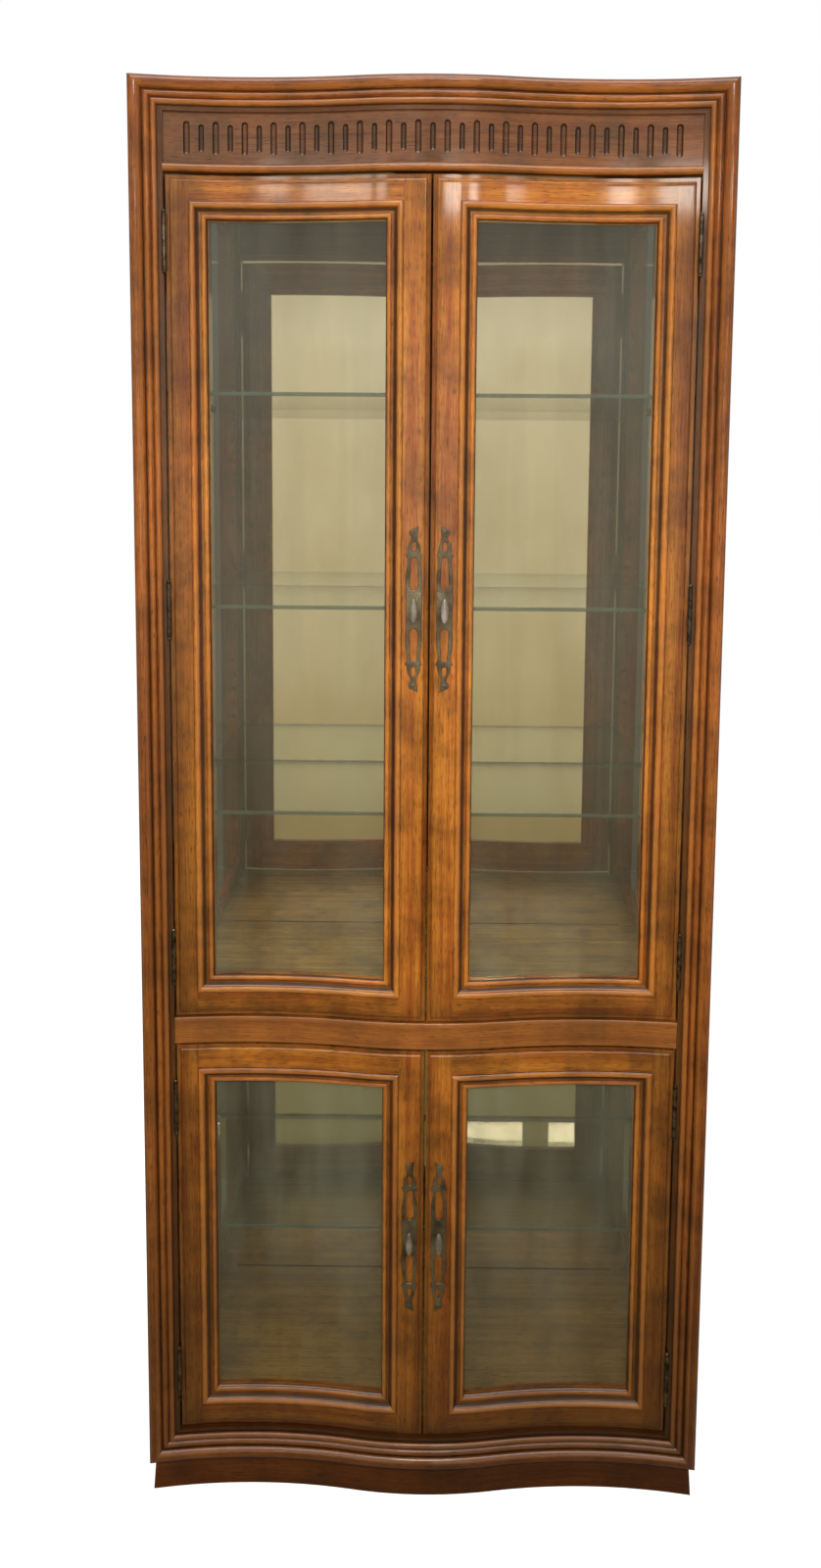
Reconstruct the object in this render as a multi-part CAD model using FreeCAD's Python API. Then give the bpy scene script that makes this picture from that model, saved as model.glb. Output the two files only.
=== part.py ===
import FreeCAD, Part
import math
import os

# Display cabinet with a serpentine front: two tall glass doors above a rail and two short
# glass doors below it, a picture-frame moulding all round, a fluted frieze and a plinth.
# Lengths are in millimetres. X runs to the right, Y to the back and Z up.
# The origin lies on the floor, in the middle of the cabinet's width and depth.

# Case
width = 820.0
height = 2060.0
case_depth = 340.0
bulge = 18.0
valley_place_share = 0.3
valley_arc_share = 0.572

# Picture-frame moulding, measured from its outer edge inwards and out from the door face
round_width = 18.0
round_start = 6.0
round_crest = 15.0
round_end = 7.5
quirk_width = 1.5
bead_width = 8.2
bead_line = 0.8
first_bead_foot = 5.8
first_bead_crest = 9.0
second_bead_foot = 4.2
second_bead_crest = 7.6
inner_quirk_width = 2.6
lip_width = 4.7
lip_stand = 2.5
frame_back = 22.0

# Levels of the front
plinth_height = 46.0
lower_door_height = 602.0
mid_rail_height = 40.0
bead_height = 12.0
frieze_height = 68.0
door_gap = 3.0
meeting_gap = 3.0
hinge_gap = 2.0

# Plinth
plinth_inset = 5.0
plinth_flare = 3.0
plinth_stand = 2.0
plinth_thickness = 20.0
plinth_back_inset = 6.0

# Frieze
frieze_recess = 2.5
frieze_bead_stand = 6.0
flute_count = 35
flute_pitch = 19.7
long_flute = 44.0
long_flute_width = 8.6
short_flute = 36.0
short_flute_width = 7.2

# Doors
door_thickness = 18.0
rail_width = 35.0
hinge_stile_width = 31.0
meeting_stile_width = 37.0
edge_band = 5.0
edge_step = 3.0
rail_edge_round = 2.5
glazing_width = 24.0
glazing_stand = 4.6
glazing_cove = 3.0
glazing_bead = 1.8
glazing_lip = 6.0
glazing_depth = 11.7
glass_rebate = 10.0
door_glass_thickness = 3.0
glazing_bead_share = 0.33
glazing_cove_shares = (0.45, 0.68)
glazing_lip_share = 0.96

# Sides and back
side_thickness = 28.0
side_inset = 12.0
post_depth = 40.0
side_rail_height = 70.0
side_glass_thickness = 4.0
glass_groove = 8.0
top_thickness = 16.0
mirror_thickness = 4.0
back_thickness = 6.0
back_rebate = 5.0
mirror_top_gap = 24.0

# Floors and shelves
floor_thickness = 20.0
lower_floor_top = 84.0
shelf_thickness = 6.0
shelf_pitch = 302.0
lower_shelf_rise = 315.0
shelf_front_gap = 5.0
shelf_side_gap = 2.0
shelf_back_gap = 4.0
plate_groove_width = 5.0
plate_groove_depth = 2.0
plate_groove_place = 40.0
pin_radius = 2.5
pin_stand = 9.0
pin_hold = 10.0
pin_place = 22.0

# Hinges
hinge_length = 76.0
hinge_inset = 91.0
knuckle_radius = 3.2
knuckle_count = 5
knuckle_gap = 0.3
hinge_pin_radius = 1.3
leaf_thickness = 0.8
leaf_depth = 18.0
finial_radius = 2.6
screw_count = 3
screw_place_share = 0.72
screw_head_radius = 2.0
screw_shank_radius = 1.2
screw_length = 12.0

# Pulls. The half outline and its two holes are shares of half the width and half the length.
pull_place = 21.5
upper_pull_raise = 5.0
lower_pull_raise = 17.0
pull_width = 23.0
pull_length = 235.0
pull_plate_thickness = 2.5
pull_half_shares = [
    ((1.0, 0.209),), ((0.9, 0.214),), ((1.01, 0.33), (0.88, 0.48)),
    ((0.78, 0.54), (0.76, 0.6)), ((1.08, 0.66),), ((0.76, 0.672),),
    ((0.78, 0.725), (0.58, 0.785)), ((0.38, 0.825), (0.3, 0.87)),
    ((0.6, 0.915), (0.25, 0.958)), ((-0.12, 0.967), (-0.52, 1.0)),
    ((-0.5, 0.95), (-0.38, 0.87)), ((-0.42, 0.825), (-0.58, 0.785)),
    ((-0.78, 0.725), (-0.76, 0.672)), ((-1.08, 0.66),), ((-0.76, 0.6),),
    ((-0.78, 0.54), (-0.88, 0.48)), ((-1.01, 0.33), (-0.9, 0.214)),
    ((-1.0, 0.209),), ((-1.0, 0.0),), ((1.0, 0.0),),
]
pull_loop_shares = [
    ((0.36, 0.25), (0.49, 0.32)), ((0.46, 0.47), (0.33, 0.617)), ((-0.33, 0.617),),
    ((-0.46, 0.47), (-0.49, 0.32)), ((-0.36, 0.25), (0.0, 0.23)),
]
pull_eye_shares = [
    ((0.22, 0.7), (0.28, 0.735)), ((0.2, 0.79), (0.0, 0.815)),
    ((-0.2, 0.79), (-0.28, 0.735)), ((-0.22, 0.7), (0.0, 0.69)),
]
stem_length = 10.0
stem_radius = 3.4
knob_width = 11.0
knob_height = 35.0
pull_screw_radius = 2.0
pull_screw_head = 4.0

# Catches
catch_width = 40.0
catch_height = 13.0
catch_place = 32.0
strike_thickness = 1.0

# Clearances
sliding_gap = 0.3
running_gap = 0.05
seat_gap = 0.2
overrun = 60.0

# Worked out from the sizes above
half_width = width/2
frame_width = (round_width + quirk_width + 2*bead_width + bead_line + inner_quirk_width
               + lip_width)
opening_half = half_width - frame_width
valley_x = valley_place_share*width
radius_sum = (valley_x**2 + bulge**2)/(2*bulge)
valley_radius = valley_arc_share*radius_sum
bulge_radius = radius_sum - valley_radius
join_x = valley_x*bulge_radius/radius_sum
front_reach = bulge + sliding_gap + pull_plate_thickness + stem_length + knob_width
face_y = (front_reach - case_depth)/2
case_front = face_y + frame_back
case_back = face_y + case_depth
side_outer = half_width - side_inset
side_inner = side_outer - side_thickness
base_top = plinth_height + frame_width
lower_door_foot = base_top + door_gap
lower_door_top = lower_door_foot + lower_door_height
mid_rail_foot = lower_door_top + door_gap
mid_rail_top = mid_rail_foot + mid_rail_height
upper_door_foot = mid_rail_top + door_gap
frieze_top = height - frame_width
frieze_foot = frieze_top - frieze_height
frieze_bead_foot = frieze_foot - bead_height
upper_door_top = frieze_bead_foot - door_gap
side_top = height - top_thickness
back_front = case_back - back_rebate - back_thickness
mirror_front = back_front - mirror_thickness
upper_floor_top = mid_rail_top
hinge_x = opening_half - hinge_gap/2
door_outer = opening_half - hinge_gap
door_inner = meeting_gap/2


def vec(x, y, z):
    return FreeCAD.Vector(x, y, z)


def lead(x):
    """How far the serpentine line stands in front of its two valleys at x."""
    away = abs(x)
    if away <= join_x:
        return bulge - bulge_radius + math.sqrt(bulge_radius**2 - away**2)
    return valley_radius - math.sqrt(valley_radius**2 - (away - valley_x)**2)


def front(x, stand=0.0):
    """The y of a surface that stands out from the door face by stand."""
    return face_y - lead(x) - stand


def box(x_low, x_high, y_low, y_high, z_low, z_high):
    shape = Part.makeBox(x_high - x_low, y_high - y_low, z_high - z_low)
    shape.translate(vec(x_low, y_low, z_low))
    return shape


def mirrored(shape):
    """The same piece on the other side of the middle plane."""
    return shape.mirror(vec(0, 0, 0), vec(1, 0, 0))


def line(start, end):
    return Part.LineSegment(start, end).toShape()


def serpentine(x_low, x_high, stand, z):
    """The serpentine line as tangent arcs, from x_low to x_high."""
    stops = [x_low]
    stops += [x for x in (-join_x, join_x) if x_low < x < x_high]
    stops.append(x_high)
    edges = []
    for left, right in zip(stops[:-1], stops[1:]):
        points = [vec(x, front(x, stand), z) for x in (left, (left + right)/2, right)]
        edges.append(Part.Arc(*points).toShape())
    return edges


def bent_board(x_low, x_high, stand, thickness, z_low, z_high):
    """A board whose front and back both follow the serpentine line."""
    fore = serpentine(x_low, x_high, stand, z_low)
    aft = serpentine(x_low, x_high, stand - thickness, z_low)
    ends = [line(vec(x, front(x, stand), z_low), vec(x, front(x, stand - thickness), z_low))
            for x in (x_low, x_high)]
    outline = Part.Wire(Part.__sortEdges__(fore + aft + ends))
    return Part.Face(outline).extrude(vec(0, 0, z_high - z_low))


def backed_board(x_low, x_high, stand, y_back, z_low, z_high):
    """A board with a serpentine front and a straight back."""
    fore = serpentine(x_low, x_high, stand, z_low)
    corners = [vec(x_low, front(x_low, stand), z_low), vec(x_low, y_back, z_low),
               vec(x_high, y_back, z_low), vec(x_high, front(x_high, stand), z_low)]
    rest = [line(a, b) for a, b in zip(corners[:-1], corners[1:])]
    outline = Part.Wire(Part.__sortEdges__(fore + rest))
    return Part.Face(outline).extrude(vec(0, 0, z_high - z_low))


def outline_wire(steps, place):
    """A closed outline. Each step is a point, or a point passed through and an end point."""
    here = steps[-1][-1]
    edges = []
    for step in steps:
        if len(step) == 1:
            edges.append(line(place(*here), place(*step[0])))
        else:
            edges.append(Part.Arc(place(*here), place(*step[0]), place(*step[1])).toShape())
        here = step[-1]
    return Part.Wire(edges)


def run_along(steps, x_low, x_high, level):
    """Carry an outline along the serpentine line, always facing forward.

    The outline's first number is set out by level, which gives a height, and its second
    number stands out from the door face.
    """
    section = outline_wire(steps, lambda u, stand: vec(x_low, front(x_low, stand), level(u)))
    spine = Part.Wire(serpentine(x_low, x_high, 0.0, 0.0))
    sweep = Part.BRepOffsetAPI.MakePipeShell(spine)
    sweep.setTrihedronMode(vec(0, 0, 0), vec(1, 0, 0))
    sweep.add(section)
    sweep.build()
    sweep.makeSolid()
    return sweep.shape()


def stand_up(steps, place_x, z_low, z_high):
    """Raise an outline straight up, its first number set out across the front."""
    section = outline_wire(
        steps, lambda u, stand: vec(place_x(u), front(place_x(u), stand), z_low))
    return Part.Face(section).extrude(vec(0, 0, z_high - z_low))


def wedge(corners):
    """A prism through the whole depth over corners given as x and z."""
    points = [vec(x, face_y - case_depth, z) for x, z in corners]
    face = Part.Face(Part.makePolygon(points + points[:1]))
    return face.extrude(vec(0, 3*case_depth, 0))


def mitred_frame(steps, wide, left, right, foot, top):
    """Four mouldings round an opening, mitred where they meet. Outer edges are given."""
    inner_left = left + wide
    inner_right = right - wide
    inner_foot = foot + wide
    inner_top = top - wide
    upper = run_along(steps, left, right, lambda u: top - u).common(
        wedge([(left, top), (right, top), (inner_right, inner_top), (inner_left, inner_top)]))
    lower = run_along(steps, left, right, lambda u: foot + u).common(
        wedge([(left, foot), (right, foot), (inner_right, inner_foot),
               (inner_left, inner_foot)]))
    first = stand_up(steps, lambda u: left + u, foot, top).common(
        wedge([(left, foot), (left, top), (inner_left, inner_top), (inner_left, inner_foot)]))
    second = stand_up(steps, lambda u: right - u, foot, top).common(
        wedge([(right, foot), (right, top), (inner_right, inner_top),
               (inner_right, inner_foot)]))
    return upper, lower, first, second


def save(name, *shapes):
    """Write one named piece, or one named group of like pieces."""
    solids = [solid for shape in shapes for solid in shape.Solids]
    Part.makeCompound(solids).exportStep("parts/" + name + ".step")


def frame_outline():
    """Big round, quirk, two beads with a line between them, quirk and lip."""
    bead_start = round_width + quirk_width
    bead_end = bead_start + bead_width
    second_start = bead_end + bead_line
    second_end = second_start + bead_width
    lip_start = second_end + inner_quirk_width
    quirk_side = quirk_width/4
    return [
        ((0, round_start),),
        ((round_width/2, round_crest), (round_width, round_end)),
        ((round_width + quirk_side, first_bead_foot),),
        ((bead_start - quirk_side, first_bead_foot),),
        ((bead_start + bead_width/2, first_bead_crest), (bead_end, first_bead_foot)),
        ((second_start, first_bead_foot - bead_line),),
        ((second_start + bead_width/2, second_bead_crest), (second_end, second_bead_foot)),
        ((second_end, 0),),
        ((lip_start, 0),),
        ((lip_start, lip_stand),),
        ((frame_width, lip_stand),),
        ((frame_width, -frame_back - overrun),),
        ((0, -frame_back - overrun),),
    ]


def trimmed_back(shape, y_back):
    """What lies in front of one upright plane."""
    return shape.common(box(-width, width, y_back - 3*case_depth, y_back, -overrun,
                            height + overrun))


def plinth_front():
    """A serpentine plinth board that flares a little towards the floor."""
    stand_foot = plinth_stand + plinth_flare
    steps = [((0, stand_foot),), ((plinth_height, plinth_stand),),
             ((plinth_height, -frame_back - overrun),), ((0, -frame_back - overrun),)]
    board = run_along(steps, -half_width, half_width, lambda u: u)
    wide = half_width - plinth_inset
    narrow = wide - plinth_flare
    board = board.common(wedge([(-wide, 0), (wide, 0), (narrow, plinth_height),
                                (-narrow, plinth_height)]))
    return trimmed_back(board, case_front)


def plinth_returns():
    """Two side boards and a rear board behind the plinth front."""
    wide = half_width - plinth_inset
    narrow = wide - plinth_flare
    y_back = case_back - plinth_back_inset
    sides = []
    for sign in (-1, 1):
        corners = [(sign*wide, 0), (sign*narrow, plinth_height),
                   (sign*(narrow - plinth_thickness), plinth_height),
                   (sign*(narrow - plinth_thickness), 0)]
        points = [vec(x, case_front, z) for x, z in corners]
        face = Part.Face(Part.makePolygon(points + points[:1]))
        sides.append(face.extrude(vec(0, y_back - case_front, 0)))
    inner = narrow - plinth_thickness
    rear = box(-inner, inner, y_back - plinth_thickness, y_back, 0, plinth_height)
    return sides + [rear]


def flute(x, length, wide):
    """A round-ended scoop, half as deep as it is wide."""
    radius = wide/2
    run = length - wide
    y = front(x, -frieze_recess)
    z = (frieze_foot + frieze_top)/2 - run/2
    scoop = Part.makeCylinder(radius, run, vec(x, y, z))
    for end in (z, z + run):
        scoop = scoop.fuse(Part.makeSphere(radius, vec(x, y, end)))
    return scoop


def frieze_panel():
    """The board under the crown, cut with long and short flutes by turns."""
    board = backed_board(-opening_half, opening_half, -frieze_recess, case_front,
                         frieze_foot, frieze_top)
    scoops = []
    for index in range(flute_count):
        x = (index - (flute_count - 1)/2)*flute_pitch
        if index % 2 == 0:
            scoops.append(flute(x, long_flute, long_flute_width))
        else:
            scoops.append(flute(x, short_flute, short_flute_width))
    return board.cut(scoops)


def frieze_bead():
    """A half-round bead between the frieze and the upper doors."""
    steps = [((0, 0),), ((bead_height/2, frieze_bead_stand), (bead_height, 0)),
             ((bead_height, -frame_back - overrun),), ((0, -frame_back - overrun),)]
    bead = run_along(steps, -opening_half, opening_half, lambda u: frieze_bead_foot + u)
    return trimmed_back(bead, case_front)


def mid_rail():
    """The rail between the doors, with its front edges eased."""
    ease = rail_edge_round
    bend = ease*(1 - math.sqrt(0.5))
    steps = [((0, -ease),), ((bend, -bend), (ease, 0)), ((mid_rail_height - ease, 0),),
             ((mid_rail_height - bend, -bend), (mid_rail_height, -ease)),
             ((mid_rail_height, -frame_back - overrun),), ((0, -frame_back - overrun),)]
    rail = run_along(steps, -opening_half, opening_half, lambda u: mid_rail_foot + u)
    return trimmed_back(rail, case_front)


def side_frame():
    """Two posts and three rails of the right side, grooved for two panes."""
    inner_front = case_front + post_depth
    inner_back = case_back - post_depth
    mid_foot = mid_rail_top - (side_rail_height + floor_thickness)/2
    mid_top = mid_foot + side_rail_height
    bars = [
        box(side_inner, side_outer, case_front, inner_front, plinth_height, side_top),
        box(side_inner, side_outer, inner_back, case_back, plinth_height, side_top),
        box(side_inner, side_outer, inner_front, inner_back, side_top - side_rail_height,
            side_top),
        box(side_inner, side_outer, inner_front, inner_back, mid_foot, mid_top),
        box(side_inner, side_outer, inner_front, inner_back, plinth_height,
            plinth_height + side_rail_height),
    ]
    middle = (side_inner + side_outer)/2
    panes = []
    grooves = []
    for foot, top in ((mid_top, side_top - side_rail_height),
                      (plinth_height + side_rail_height, mid_foot)):
        reach = glass_groove - sliding_gap
        half = side_glass_thickness/2
        panes.append(box(middle - half, middle + half, inner_front - reach,
                         inner_back + reach, foot - reach, top + reach))
        half += sliding_gap
        grooves.append(box(middle - half, middle + half, inner_front - glass_groove,
                           inner_back + glass_groove, foot - glass_groove,
                           top + glass_groove))
    holes = []
    for shelf_top in shelf_levels():
        for y in shelf_pin_places():
            holes.append(Part.makeCylinder(
                pin_radius + running_gap, pin_hold + overrun,
                vec(side_inner + pin_hold, y, shelf_top - shelf_thickness - pin_radius),
                vec(-1, 0, 0)))
    return [bar.cut(grooves + holes) for bar in bars], panes


def shelf_levels():
    """Tops of the three upper shelves and of the lower one."""
    levels = [upper_floor_top + shelf_pitch*step for step in (3, 2, 1)]
    levels.append(lower_floor_top + lower_shelf_rise)
    return levels


def shelf_pin_places():
    """The y of the front and back pins under a shelf."""
    return case_front + pin_place, case_back - post_depth + pin_place/2


def glass_shelf(top):
    """A plate of glass with a plate groove near its back edge."""
    half = side_inner - shelf_side_gap
    y_front = face_y + door_thickness + shelf_front_gap
    y_back = mirror_front - shelf_back_gap
    plate = box(-half, half, y_front, y_back, top - shelf_thickness, top)
    groove_y = mirror_front - plate_groove_place
    groove = box(-half + shelf_thickness, half - shelf_thickness,
                 groove_y - plate_groove_width/2, groove_y + plate_groove_width/2,
                 top - plate_groove_depth, top + overrun)
    return plate.cut(groove)


def shelf_pins():
    """Round pins in the posts, two at each end of each shelf."""
    pins = []
    for top in shelf_levels():
        for y in shelf_pin_places():
            z = top - shelf_thickness - pin_radius - seat_gap/2
            pin = Part.makeCylinder(
                pin_radius - seat_gap/2, pin_stand + pin_hold,
                vec(side_inner - pin_stand, y, z), vec(1, 0, 0))
            pins += [pin, mirrored(pin)]
    return pins


def floor_board(top, y_front):
    """A wooden floor with a plate groove near the mirror."""
    board = box(-side_inner, side_inner, y_front, back_front, top - floor_thickness, top)
    groove_y = mirror_front - plate_groove_place
    margin = side_thickness
    groove = box(-side_inner + margin, side_inner - margin,
                 groove_y - plate_groove_width/2, groove_y + plate_groove_width/2,
                 top - plate_groove_depth, top + overrun)
    return board.cut(groove)


def back_board():
    return box(-side_inner, side_inner, back_front, back_front + back_thickness,
               plinth_height, side_top)


def mirrors():
    """One mirror behind each compartment, standing on its floor."""
    half = side_inner - shelf_side_gap
    upper = box(-half, half, mirror_front, back_front, upper_floor_top,
                side_top - mirror_top_gap)
    lower = box(-half, half, mirror_front, back_front, lower_floor_top,
                upper_floor_top - floor_thickness)
    return upper, lower


def edge_cutter():
    """What is taken off a door's outer edge: a step and a quarter round."""
    bend = edge_step*(1 - math.sqrt(0.5))
    end = edge_band + edge_step
    return [((-edge_band, -edge_step),), ((edge_band, -edge_step),),
            ((edge_band + bend, -bend), (end, 0)), ((end, overrun),),
            ((-edge_band, overrun),)]


def glazing_outline():
    """The glazing moulding, from its outer edge in: bead, cove, small bead and lip."""
    outer = glazing_width
    bead = outer*glazing_bead_share
    cove_middle, cove_end = [outer*share for share in glazing_cove_shares]
    lip_start = outer*glazing_lip_share
    lip_top = (glazing_lip + glazing_cove)/2
    return [
        ((0, glazing_stand/2),),
        ((bead/2, glazing_stand), (bead, glazing_stand/2)),
        ((bead, glazing_stand/4),),
        ((cove_middle, glazing_stand/4 - glazing_cove), (cove_end, -glazing_cove)),
        (((cove_end + lip_start)/2, glazing_bead - glazing_cove), (lip_start, -lip_top)),
        ((outer, -glazing_lip),),
        ((outer, -glazing_depth),),
        ((0, -glazing_depth),),
    ]


def door_wood(foot, top):
    """Stiles, rails and glazing of the right-hand door of a pair."""
    blank = bent_board(door_inner, door_outer, 0.0, door_thickness, foot, top)
    cutter = edge_cutter()
    low = foot - edge_band
    high = top + edge_band
    for cut in (run_along(cutter, 0.0, opening_half, lambda u: top - u),
                run_along(cutter, 0.0, opening_half, lambda u: foot + u),
                stand_up(cutter, lambda u: door_inner + u, low, high),
                stand_up(cutter, lambda u: door_outer - u, low, high)):
        blank = blank.cut(cut)
    stile_x = door_outer - hinge_stile_width
    meet_x = door_inner + meeting_stile_width
    y_low = face_y - case_depth
    y_high = face_y + case_depth
    hinge_stile = blank.common(box(stile_x, width, y_low, y_high, 0, height))
    meeting_stile = blank.common(box(-width, meet_x, y_low, y_high, 0, height))
    top_rail = blank.common(box(meet_x, stile_x, y_low, y_high, top - rail_width, height))
    foot_rail = blank.common(box(meet_x, stile_x, y_low, y_high, 0, foot + rail_width))
    glazing = mitred_frame(glazing_outline(), glazing_width, meet_x, stile_x,
                           foot + rail_width, top - rail_width)
    return hinge_stile, meeting_stile, [top_rail, foot_rail], list(glazing)


def door_glass(foot, top):
    """The bent pane and the four strips that hold it from behind."""
    left = door_inner + meeting_stile_width
    right = door_outer - hinge_stile_width
    low = foot + rail_width
    high = top - rail_width
    edge = glazing_width - glass_rebate
    stand = -glazing_depth - sliding_gap
    pane = bent_board(left + edge, right - edge, stand, door_glass_thickness,
                      low + edge, high - edge)
    strip_stand = stand - door_glass_thickness - sliding_gap
    strip = door_thickness + strip_stand
    wide = glazing_width
    strips = [
        bent_board(left, right, strip_stand, strip, high - wide, high),
        bent_board(left, right, strip_stand, strip, low, low + wide),
        bent_board(left, left + wide, strip_stand, strip, low + wide, high - wide),
        bent_board(right - wide, right, strip_stand, strip, low + wide, high - wide),
    ]
    return pane, strips


def hinge_heights(foot, top, count):
    low = foot + hinge_inset
    high = top - hinge_inset
    return [low + (high - low)*step/(count - 1) for step in range(count)]


def hinge_axis_y():
    """The pin stands in front of the door's edge, so that the door swings clear."""
    return front(hinge_x, lip_stand) - knuckle_radius - sliding_gap


def hinge_screw_places(z_middle):
    """The y and heights of the screws through one leaf."""
    y = hinge_axis_y() + leaf_depth*screw_place_share
    pitch = hinge_length/screw_count
    middle = (screw_count - 1)/2
    return [(y, z_middle + (index - middle)*pitch) for index in range(screw_count)]


def hinge_screw(x_head, sign, y, z, slack=0.0):
    """A screw whose head fills the leaf from x_head and whose shank enters the wood."""
    along = vec(sign, 0, 0)
    head = Part.makeCylinder(screw_head_radius + slack, leaf_thickness,
                             vec(x_head, y, z), along)
    shank = Part.makeCylinder(screw_shank_radius + slack, leaf_thickness + screw_length,
                              vec(x_head, y, z), along)
    return head.fuse(shank)


def hinge_screws(z_middle, slack=0.0):
    """The screws into the frame and the screws into the door, at one hinge."""
    frame_head = opening_half - leaf_thickness
    door_head = door_outer + leaf_thickness
    places = hinge_screw_places(z_middle)
    return ([hinge_screw(frame_head, 1, y, z, slack) for y, z in places],
            [hinge_screw(door_head, -1, y, z, slack) for y, z in places])


def hinge(z_middle):
    """Frame leaf, door leaf and pin of one butt hinge on the right-hand side."""
    y = hinge_axis_y()
    foot = z_middle - hinge_length/2
    step = hinge_length/knuckle_count
    bore = Part.makeCylinder(hinge_pin_radius + running_gap, hinge_length + 2*overrun,
                             vec(hinge_x, y, foot - overrun))
    plate_front = y + knuckle_radius + sliding_gap
    plate_back = y + leaf_depth
    edges = (opening_half - leaf_thickness, door_outer)
    leaves = [box(x, x + leaf_thickness, plate_front, plate_back, foot, foot + hinge_length)
              for x in edges]
    for index in range(knuckle_count):
        owner = index % 2
        low = foot + index*step + knuckle_gap/2
        high = foot + (index + 1)*step - knuckle_gap/2
        barrel = Part.makeCylinder(knuckle_radius, high - low, vec(hinge_x, y, low))
        tab = box(edges[owner], edges[owner] + leaf_thickness, y + hinge_pin_radius,
                  plate_front, low, high)
        leaves[owner] = leaves[owner].fuse([barrel, tab])
    frame_holes, door_holes = hinge_screws(z_middle, running_gap)
    frame_leaf = leaves[0].cut([bore] + frame_holes)
    door_leaf = leaves[1].cut([bore] + door_holes)
    return frame_leaf, door_leaf, hinge_pin(y, foot)


def hinge_pin(y, foot):
    """A pin with a ball at each end, standing just clear of the knuckles."""
    pin = Part.makeCylinder(hinge_pin_radius, hinge_length, vec(hinge_x, y, foot))
    rise = math.sqrt(finial_radius**2 - hinge_pin_radius**2) + knuckle_gap
    for z, sign in ((foot, -1), (foot + hinge_length, 1)):
        ball = Part.makeSphere(finial_radius, vec(hinge_x, y, z + sign*rise))
        stub = Part.makeCylinder(hinge_pin_radius, rise, vec(hinge_x, y, z),
                                 vec(0, 0, sign))
        pin = pin.fuse([ball, stub])
    return pin


def pull_back_y():
    """The back of a pull's plate, just clear of the door's bulge."""
    return face_y - bulge - sliding_gap


def flat_piece(shares, z_middle, sign):
    """A plate cut to an outline given in shares, upwards or, with a sign of -1, downwards."""
    y = pull_back_y()
    outline = outline_wire(shares, lambda across, up: vec(
        pull_place + across*pull_width/2, y, z_middle + sign*up*pull_length/2))
    return Part.Face(outline).extrude(vec(0, -pull_plate_thickness, 0))


def pull_plate(z_middle):
    """A pierced plate: a centre block, and above and below it a loop, an eye and a leaf."""
    halves = []
    for sign in (1, -1):
        half = flat_piece(pull_half_shares, z_middle, sign)
        holes = [flat_piece(pull_loop_shares, z_middle, sign),
                 flat_piece(pull_eye_shares, z_middle, sign)]
        halves.append(half.cut(holes))
    bore = Part.makeCylinder(
        pull_screw_radius + running_gap, 2*overrun,
        vec(pull_place, pull_back_y() - overrun, z_middle), vec(0, 1, 0))
    return halves[0].fuse(halves[1]).removeSplitter().cut(bore)


def pull_knob(z_middle):
    """An oval knob on a short stem, screwed on through the stile."""
    y = pull_back_y() - pull_plate_thickness
    stem = Part.makeCylinder(stem_radius, stem_length + knob_width/2,
                             vec(pull_place, y, z_middle), vec(0, -1, 0))
    ball = Part.makeSphere(knob_width/2)
    stretch = FreeCAD.Matrix()
    stretch.A33 = knob_height/knob_width
    oval = ball.transformGeometry(stretch)
    oval.translate(vec(pull_place, y - stem_length - knob_width/2, z_middle))
    bore = Part.makeCylinder(pull_screw_radius + running_gap, stem_length/2 + overrun,
                             vec(pull_place, y - stem_length/2, z_middle), vec(0, 1, 0))
    return stem.fuse(oval).cut(bore)


def pull_screw(z_middle):
    """The screw that holds the knob, its head on the back of the stile."""
    y_back = front(pull_place - pull_screw_head, -door_thickness) + sliding_gap
    y_tip = pull_back_y() - pull_plate_thickness - stem_length/2 + seat_gap
    shank = Part.makeCylinder(pull_screw_radius, y_back - y_tip,
                              vec(pull_place, y_tip, z_middle), vec(0, 1, 0))
    head = Part.makeCylinder(pull_screw_head, strike_thickness,
                             vec(pull_place, y_back, z_middle), vec(0, 1, 0))
    return shank.fuse(head)


def catch_pair(top):
    """A magnetic catch under the board above a door, and its strike on the door."""
    x_low = catch_place - catch_width/2
    x_high = catch_place + catch_width/2
    foot = top + door_gap - catch_height
    stand = -door_thickness - seat_gap
    strike = bent_board(x_low, x_high, stand, strike_thickness, foot, top - sliding_gap)
    y_body = front(x_high, stand - strike_thickness) + sliding_gap
    body = box(x_low, x_high, y_body, case_front, foot, top + door_gap)
    return body, strike


def write_door(name, side, foot, top, hinge_count, pull_raise):
    """Write every piece of one door, and return what stays on the frame."""
    place = (lambda shape: shape) if side == "right" else mirrored
    hinge_stile, meeting_stile, rails, glazing = door_wood(foot, top)
    pane, strips = door_glass(foot, top)
    z_pull = (foot + top)/2 + pull_raise
    hole = Part.makeCylinder(pull_screw_radius + running_gap, width,
                             vec(pull_place, face_y - half_width, z_pull), vec(0, 1, 0))
    heights = hinge_heights(foot, top, hinge_count)
    hinges = [hinge(z) for z in heights]
    screws = [screw for z in heights for screw in hinge_screws(z)[1]]
    pilots = [pilot for z in heights for pilot in hinge_screws(z, running_gap)[1]]
    catch, strike = catch_pair(top)
    fittings = [leaf for _, leaf, _ in hinges] + screws + [strike, pull_screw(z_pull)]
    save(name + "_hinge_stile", place(hinge_stile.cut(pilots)))
    save(name + "_meeting_stile", place(meeting_stile.cut(hole)))
    save(name + "_rails", *[place(piece) for piece in rails])
    save(name + "_glazing", *[place(piece) for piece in glazing + strips])
    save(name + "_glass", place(pane))
    save(name + "_pull_plate", place(pull_plate(z_pull)))
    save(name + "_pull_knob", place(pull_knob(z_pull)))
    save(name + "_fittings", *[place(piece) for piece in fittings])
    leaves = [place(leaf) for leaf, _, _ in hinges]
    pins = [place(pin) for _, _, pin in hinges]
    return leaves, pins, place(catch)


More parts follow.
